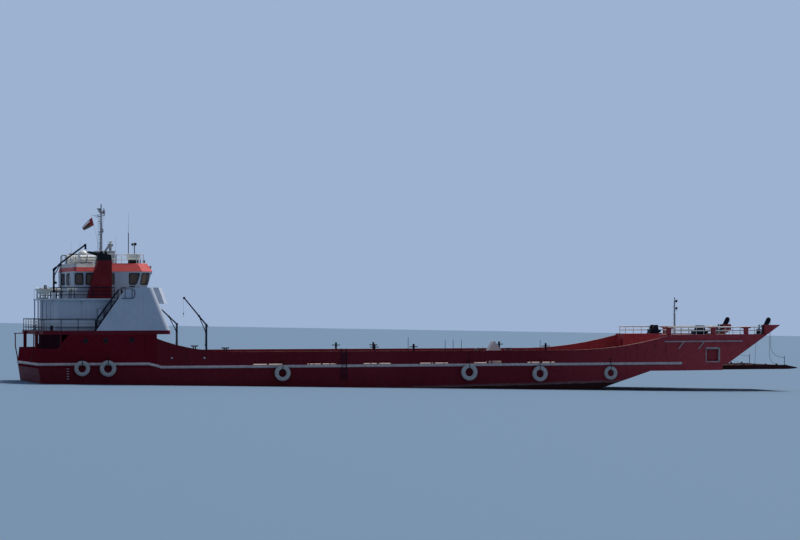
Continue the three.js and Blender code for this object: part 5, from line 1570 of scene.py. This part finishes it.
def makeRescueBoat():
    bm = bmesh.new()
    sections, around = 16, 14
    x, middle, half, end = at(boat["x"]), boat["y"], boat["half"], boat["end"]
    low, high = boat["low"], boat["high"]

    def station(t, inset):
        # t runs 0 at the transom to 1 at the stem; a section is a list from one gunwale round to the other
        y = middle - end + inset * 0.8 + (2 * end - inset * 1.6) * t
        width = (half - inset) * (1 - 0.28 * max(0, 0.35 - t) - max(0.0, (t - 0.5) / 0.5) ** 2.2 * 0.94)
        keel = low + inset * 1.3 + 0.13 * max(0.0, t - 0.55) ** 1.6
        sheer = high - 0.035 + 0.035 * t ** 2 - (0.004 if inset else 0)
        loop = []
        for k in range(around + 1):
            a = pi * k / around
            sx, sz = -cos(a), sin(a) ** 0.7
            loop.append((x + width * sx * (1 - 0.12 * (1 - sz)), y, sheer - (sheer - keel) * sz))
        return loop

    skins = []
    for inset in (0.0, 0.028):
        grid = [[bm.verts.new(p) for p in station(k / sections, inset)] for k in range(sections + 1)]
        for row, other in zip(grid, grid[1:]):
            for k in range(around):
                bm.faces.new((row[k], row[k + 1], other[k + 1], other[k]))
        bm.faces.new(grid[0])
        bm.faces.new(list(reversed(grid[-1])))
        skins.append(grid)
    outer, inner = skins
    for k in range(sections):
        for edge in (0, -1):
            bm.faces.new((outer[k][edge], outer[k + 1][edge], inner[k + 1][edge], inner[k][edge]))
    for row, other in ((outer[0], inner[0]), (outer[-1], inner[-1])):
        bm.faces.new((row[0], row[-1], other[-1], other[0]))
    bmesh.ops.recalc_face_normals(bm, faces=bm.faces)
    # thick rubbing band, thwarts, engine, chocks and lashings
    for edge in (0, -1):
        pipe(bm, [outer[k][edge].co + up(-0.012) for k in range(sections + 1)], 0.045, 12, 0)
    for t in (0.3, 0.55):
        y = middle - end + 2 * end * t
        slab(bm, (x - 0.24, y - 0.05, high - 0.09), (x + 0.24, y + 0.05, high - 0.07), 0.006, 2)
    y = middle - end + 0.05
    slab(bm, (x - 0.06, y - 0.05, high - 0.05), (x + 0.06, y + 0.12, high + 0.13), 0.035, 3)
    slab(bm, (x - 0.02, y - 0.045, low + 0.02), (x + 0.02, y, high - 0.04), 0.008, 3)
    for dy in (-0.5, 0.4):
        y = middle + dy
        slab(bm, (x - 0.2, y - 0.03, deckC), (x + 0.2, y + 0.03, deckC + 0.05), 0.006, 4)
        for side in (-1, 1):
            slab(bm, (x + side * 0.17 - 0.03, y - 0.03, deckC + 0.05),
                 (x + side * 0.17 + 0.03, y + 0.03, deckC + 0.25), 0.006, 4)
        strap = [(x + 0.3 * sin(a), y, high - 0.11 + 0.125 * cos(a)) for a in arc(-90, 91, 15)]
        pipe(bm, [(x - 0.3, y, deckC + 0.02)] + strap + [(x + 0.3, y, deckC + 0.02)], 0.007, 6, 1)
    return finishPiece("rescue_boat_shell", bm, "craft",
                       [whiteGel, tyreRubber, paint["housePaint"], paint["sootAndShadowBlack"], paint["davitPaint"]],
                       ["rescue_boat"], smooth=50)


makeRescueBoat()


# Liferaft canisters on cradles beside the boat deck rail.

# station of the aft end, side distance, height of the axis and length
rafts = [(1.24, -2.78, 5.12, 0.42), (0.88, -1.55, 5.1, 0.4), (1.24, 2.76, 5.12, 0.42)]
raftRadius = 0.1


def makeRafts():
    bm = bmesh.new()
    r = raftRadius
    for aft, y, z, long in rafts:
        turned(bm, [(0, 0), (r * 0.75, 0), (r * 0.95, 0.015), (r, 0.045), (r, long / 2 - 0.012),
                    (r + 0.006, long / 2 - 0.01), (r + 0.006, long / 2 + 0.01), (r, long / 2 + 0.012),
                    (r, long - 0.045), (r * 0.95, long - 0.015), (r * 0.75, long), (0, long)],
               facing((at(aft), y, z), (1, 0, 0)), 28)
        for dx in (0.1, long - 0.1):
            x = at(aft + dx)
            for dy in (-0.07, 0.07):
                tube(bm, (x, y + dy, deckC), (x, y + dy, z - 0.06), 0.01, segments=8, index=1)
            hoop(bm, (x, y, z), r + 0.004, 0.006, 24, 6, 1)
            slab(bm, (x - 0.01, y - 0.09, z - 0.1), (x + 0.01, y + 0.09, z - 0.085), 0.002, 1)
    return finishPiece("liferafts", bm, "craft", [whiteGel, paint["davitPaint"]])


makeRafts()
print("boats and rafts")


# Screws: twisted blades lofted from root to tip on a hub with a cone.

screwLook = {"x": 2.0845, "z": 0.44, "y": 1.7, "radius": 0.352, "blades": 4, "pitch": 0.5}


def makeScrew(tag, side):
    bm = bmesh.new()
    x, y, z = at(screwLook["x"]), side * screwLook["y"], screwLook["z"]
    turned(bm, [(0, -0.115), (0.03, -0.11), (0.055, -0.08), (0.072, -0.04), (0.075, 0.06), (0.07, 0.112),
                (0, 0.112)],
           facing((x, y, z), (1, 0, 0)), 28)
    for blade in range(screwLook["blades"]):
        spin = 2 * pi * blade / screwLook["blades"]
        rows = []
        for k in range(9):
            t = k / 8
            r = 0.06 + (screwLook["radius"] - 0.06) * t
            chord = (0.09 + 0.36 * t - 0.36 * t ** 3) * (1 if t < 0.9 else 0.72) * 0.55
            thick = 0.013 * (1 - 0.8 * t)
            twist = atan2(screwLook["pitch"], 2 * pi * r) * side
            skew = 0.25 * t ** 2 * side
            front, back = [], []
            for j in range(7):
                u = j / 6 - 0.5
                along = u * chord * 2
                camber = thick * (1 - (2 * u) ** 2)
                for offset, row in ((camber + 0.002, front), (-camber - 0.002, back)):
                    ax = along * sin(twist) + offset * cos(twist)
                    tangent = along * cos(twist) - offset * sin(twist)
                    a = spin + skew + tangent / r
                    row.append(bm.verts.new((x + ax, y + r * cos(a), z + r * sin(a))))
            rows.append(front + list(reversed(back)))
        for row, other in zip(rows, rows[1:]):
            for k in range(len(row)):
                bm.faces.new((row[k - 1], row[k], other[k], other[k - 1]))
        bm.faces.new(rows[0])
        bm.faces.new(list(reversed(rows[-1])))
    bmesh.ops.recalc_face_normals(bm, faces=bm.faces)
    return finishPiece(f"screw_blades_{tag}", bm, f"screw_{tag}", [bronze], [f"screw_{tag}"],
                       smooth=50)


for tag, side in sides:
    makeScrew(tag, side)
print("screws")


# Pipe ladders with round rungs: up the aft wall of the wheelhouse and outside the starboard bulwark.

def barLadder(bm, low, high, wide, across, rungs, rail=0.012, standoff=None):
    low, high = Vector(low), Vector(high)
    half = Vector(across).normalized() * (wide / 2)
    for sign in (-1, 1):
        tube(bm, low + half * sign, high + half * sign, rail, segments=8)
        if standoff is not None:
            for t in (0.08, 0.5, 0.92):
                spot = low.lerp(high, t) + half * sign
                tube(bm, spot, spot + Vector(standoff), rail * 0.9, segments=8)
    for k in range(rungs):
        middle = low.lerp(high, (k + 0.5) / rungs)
        tube(bm, middle - half, middle + half, rail * 0.75, segments=8)


def makeLadders():
    bm = bmesh.new()
    x = at(1.55)
    barLadder(bm, (x, 1.0, deckC), (x, 1.0, roofTop + 0.1), 0.22, (0, 1, 0), 13, standoff=(0.06, 0, 0))
    for y in (0.89, 1.11):
        loop = [(x, y, roofTop + 0.08), (x + 0.01, y, roofTop + 0.34), (x + 0.06, y, roofTop + 0.4),
                (x + 0.2, y, roofTop + 0.4), (x + 0.24, y, roofTop + 0.34), (x + 0.24, y, roofTop)]
        pipe(bm, loop, 0.012, 8)
    # boarding ladder outside the starboard bulwark, down below the strake
    x, y = at(13.38), -(hullPlan["half"] + 0.055)
    barLadder(bm, (x, y, 1.15), (x, y, 2.42), 0.2, (1, 0, 0), 9, rail=0.018, standoff=(0, 0.06, 0))
    for dx in (-0.1, 0.1):
        grab = [(x + dx, y, 2.4), (x + dx, y, 2.5), (x + dx, y + 0.05, 2.54), (x + dx, y + 0.12, 2.52),
                (x + dx, y + 0.13, 2.42)]
        pipe(bm, grab, 0.014, 8)
    return finishPiece("pipe_ladders", bm, "craft", [paint["davitPaint"]], smooth=45)


def makeTransomPipes():
    # drain pipe laid on the transom from the poop deck to the strake
    bm = bmesh.new()
    x = at(-0.215)
    for side in (-1, 1):
        pipe(bm, [(x, side * 2.95, 3.2), (x, side * 2.9, 2.62), (x, side * 2.3, 2.2), (x, side * 2.1, 2.0)],
             0.025, 10)
    return finishPiece("transom_pipes", bm, "craft", [paint["hullPaint"]], smooth=45)


makeLadders()
makeTransomPipes()
print("ladders")


# Things that stand on the bulwark cap and hang on the plating.

capHeight = 2.42
capPoles = [(16.34, 0.6), (18.05, 0.475), (18.42, 0.475), (18.8, 0.475), (19.6, 0.13), (19.8, 0.13),
            (22.5, 0.45)]
capBoxes = [(19.5, 0.14, 0.1), (20.97, 0.3, 0.11)]
sideLamps = [(5.69, 2.17), (7.13, 2.165)]
draftScale = {"x": 1.2, "low": 1.28, "step": 0.11, "bars": 5}


def makeCapFittings():
    bm = bmesh.new()
    for station, tall in capPoles:
        foot = Vector((at(station), 0.075 - breadthAt(station), capHeight))
        tube(bm, foot, foot + up(tall), 0.013, 0.01, 8, 1)
        tube(bm, foot, foot + up(0.04), 0.028, index=1)
    for side in (-1, 1):
        # horn cleat of the mooring gear
        foot = Vector((at(8.07), side * (hullPlan["half"] - 0.08), capHeight))
        slab(bm, foot - Vector((0.09, 0.05, 0)), foot + Vector((0.09, 0.05, 0.02)), 0.006)
        for dx in (-0.05, 0.05):
            tube(bm, foot + Vector((dx, 0, 0)), foot + Vector((dx, 0, 0.16)), 0.03, 0.024, 14, 1)
        pipe(bm, [foot + Vector((-0.16, 0, 0.185)), foot + Vector((-0.1, 0, 0.165)),
                  foot + Vector((0.1, 0, 0.165)), foot + Vector((0.16, 0, 0.185))], 0.028, 12, 1)
        # stays inside the bulwark, one at every third frame
        for k in range(23):
            station = 7.2 + 0.93 * k
            y = side * (breadthAt(station) - 0.07)
            prism(bm, [(at(station), y, 2.36), (at(station), y, cargoDeck + 0.012),
                       (at(station), y - side * 0.24, cargoDeck + 0.012),
                       (at(station), y - side * 0.1, cargoDeck + 0.2)],
                  (0.012, 0, 0))
    y = -(hullPlan["half"] - 0.09)
    for station, long, tall in capBoxes:
        aft, fore, top = at(station) - long / 2, at(station) + long / 2, capHeight + tall
        slab(bm, (aft, y - 0.07, capHeight), (fore, y + 0.07, top), 0.012, 2)
        slab(bm, (aft - 0.008, y - 0.078, top - 0.02), (fore + 0.008, y + 0.078, top), 0.006, 2)
    return finishPiece("cap_fittings", bm, "craft",
                       [paint["hullPaint"], paint["sootAndShadowBlack"], paint["fenderPaint"]])


def makeSideLamps():
    bm = bmesh.new()
    for side in (-1, 1):
        for station, height in sideLamps:
            y = side * breadthAt(station)
            centre = Vector((at(station), y + side * 0.008, height))
            turned(bm, [(0, -0.012), (0.04, -0.012), (0.04, 0.0), (0.034, 0.006), (0, 0.006)],
                   facing(centre, (0, side, 0)), 24)
            turned(bm, [(0, 0.004), (0.027, 0.004), (0.024, 0.025), (0, 0.034)], facing(centre, (0, side, 0)),
                   24, 1)
    return finishPiece("side_lamps", bm, "craft", [paint["railPaint"], lens])


def makeDraftMarks():
    # raised weld-bead strokes of the draft scale, without figures
    bm = bmesh.new()
    for side in (-1, 1):
        x, y = at(draftScale["x"]), side * breadthAt(draftScale["x"])
        for k in range(draftScale["bars"]):
            height = draftScale["low"] + draftScale["step"] * k
            slab(bm, (x - 0.05, y - 0.006, height), (x + 0.05, y + 0.006, height + 0.022), 0.002)
    return finishPiece("draft_marks", bm, "craft", [paint["railPaint"]], smooth=0)


makeCapFittings()
makeSideLamps()
makeDraftMarks()
print("cap and side fittings")


# Decks: lashing sockets in rows, flush hatches with bolts, and bollards on base plates.

deckTop = cargoDeck + 0.0125
hatches = [(8.2, -1.9), (8.2, 1.9), (14.5, -1.9), (14.5, 1.9), (20.8, -1.9), (20.8, 1.9), (26.4, -1.6),
           (26.4, 1.6)]


def makeDeckFittings():
    bm = bmesh.new()
    for row in range(15):
        for column in range(5):
            centre = Vector((at(7.0 + 1.55 * row), -2.6 + 1.3 * column, deckTop))
            if centre.x > at(29.2):
                continue
            turned(bm, [(0.035, 0), (0.075, 0), (0.07, 0.008), (0.04, 0.01)], Matrix.Translation(centre), 20)
            tube(bm, centre + Vector((-0.045, 0, 0.006)), centre + Vector((0.045, 0, 0.006)), 0.008,
                 segments=8)
    for station, y in hatches:
        centre = Vector((at(station), y, deckTop))
        slab(bm, centre - Vector((0.2, 0.15, 0.0)), centre + Vector((0.2, 0.15, 0.012)), 0.004)
        for a in circle(16, 0.5):
            edge = max(abs(cos(a)) / 0.17, abs(sin(a)) / 0.12)
            spot = centre + Vector((cos(a) / edge, sin(a) / edge, 0.012))
            tube(bm, spot, spot + up(0.008), 0.009, segments=6)
    return finishPiece("deck_sockets", bm, "craft", [paint["deckPaint"]])


def makeBollards():
    bm = bmesh.new()
    spots = [(0.75, -2.62, deckB), (0.75, 2.62, deckB), (6.35, -2.75, deckTop), (6.35, 2.75, deckTop)]
    for station, y, level in spots:
        slab(bm, (at(station) - 0.26, y - 0.09, level), (at(station) + 0.26, y + 0.09, level + 0.018), 0.004)
        for dx in (-0.15, 0.15):
            profile = [(0, 0.018), (0.058, 0.018), (0.058, 0.2), (0.07, 0.21), (0.07, 0.235), (0.05, 0.245),
                       (0, 0.247)]
            turned(bm, profile, Matrix.Translation((at(station) + dx, y, level)), 26)
    return finishPiece("bollards", bm, "craft", [paint["davitPaint"]])


makeDeckFittings()
makeBollards()
print("deck fittings")


# House sides: dark steel locker, bulkhead lamp and cable pipe.

def makeHouseFittings():
    bm = bmesh.new()
    for side in (-1, 1):
        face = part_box("house")[0].y if side < 0 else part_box("house")[1].y
        ends = sorted((face, face + side * 0.16))
        pipeY, hingeY = face + side * 0.012, face + side * 0.165
        slab(bm, (at(2.55), ends[0], 3.78), (at(2.9), ends[1], 4.3), 0.015, 1)
        slab(bm, (at(2.535), ends[0], 4.28), (at(2.915), ends[1], 4.31), 0.008, 1)
        for z in (3.9, 4.18):
            tube(bm, (at(2.56), hingeY, z - 0.03), (at(2.56), hingeY, z + 0.03), 0.012, segments=8, index=1)
        turned(bm, [(0, 0), (0.05, 0), (0.05, 0.03), (0.04, 0.055), (0, 0.065)],
               facing((at(1.87), face, 4.58), (0, side, 0)), 24, 2)
        pipe(bm, [(at(1.87), pipeY, 4.52), (at(1.87), pipeY, 3.9), (at(1.95), pipeY, 3.82),
                  (at(2.54), pipeY, 3.82)], 0.009, 6)
    return finishPiece("house_fittings", bm, "craft", [paint["housePaint"], paint["davitPaint"], lens])


makeHouseFittings()
print("house fittings")


# Floor at the waterline, light and sky.

stage = {"floor": "#5f7a92", "brightSky": "#a1b6d6", "dimSky": "#93a2c4", "brightStrength": 0.95,
         "dimStrength": 0.52, "sun": 3.6, "sunAngle": 7.0, "sunFrom": (0.44, 0.28, 0.85),
         "sunColour": (1.0, 0.96, 0.9), "brightSide": (0.35, 0.94, 0.0), "skyBlend": (-0.2, 0.75),
         "waterRough": 0.9, "reach": 900}


def makeSky(tree):
    # the half of the sky round the sun is bright and pale, the half behind the camera deeper blue
    direction = addNode(tree, "ShaderNodeTexCoord").outputs["Generated"]
    toSun = addNode(tree, "ShaderNodeVectorMath", {1: stage["brightSide"]}, {0: direction},
                    operation="DOT_PRODUCT")
    low, high = stage["skyBlend"]
    share = addNode(tree, "ShaderNodeMapRange", {"From Min": low, "From Max": high},
                    {"Value": toSun.outputs["Value"]}, clamp=True).outputs[0]
    background = tree.nodes["Background"]
    tree.links.new(mixColour(tree, share, stage["dimSky"], stage["brightSky"]), background.inputs["Color"])
    strength = addNode(tree, "ShaderNodeMapRange",
                       {"To Min": stage["dimStrength"], "To Max": stage["brightStrength"]}, {"Value": share})
    tree.links.new(strength.outputs[0], background.inputs["Strength"])


def makeStage():
    bm = bmesh.new()
    bmesh.ops.create_grid(bm, x_segments=1, y_segments=1, size=stage["reach"])
    tilt = Matrix.Translation((0, 0, waterline["heightAtMid"])) @ Matrix.Rotation(
        -atan(waterline["slope"]), 4, "Y")
    bmesh.ops.transform(bm, matrix=tilt, verts=bm.verts)
    mesh = bpy.data.meshes.new("floor")
    bm.to_mesh(mesh)
    bm.free()
    floor = bpy.data.objects.new("floor", mesh)
    material = bpy.data.materials.new("stageFloor")
    material.use_nodes = True
    shader = material.node_tree.nodes["Principled BSDF"]
    shader.inputs["Base Color"].default_value = linear(stage["floor"])
    shader.inputs["Roughness"].default_value = stage["waterRough"]
    mesh.materials.append(material)
    scene.collection.objects.link(floor)
    world = bpy.data.worlds.new("sky")
    world.use_nodes = True
    makeSky(world.node_tree)
    scene.world = world
    sun = bpy.data.objects.new("sun", bpy.data.lights.new("sun", "SUN"))
    sun.data.energy = stage["sun"]
    sun.data.angle = radians(stage["sunAngle"])
    sun.data.color = stage["sunColour"]
    sun.matrix_world = upright(Vector(stage["sunFrom"]))
    scene.collection.objects.link(sun)
    scene.view_settings.view_transform = "Standard"


makeStage()
print("stage set")
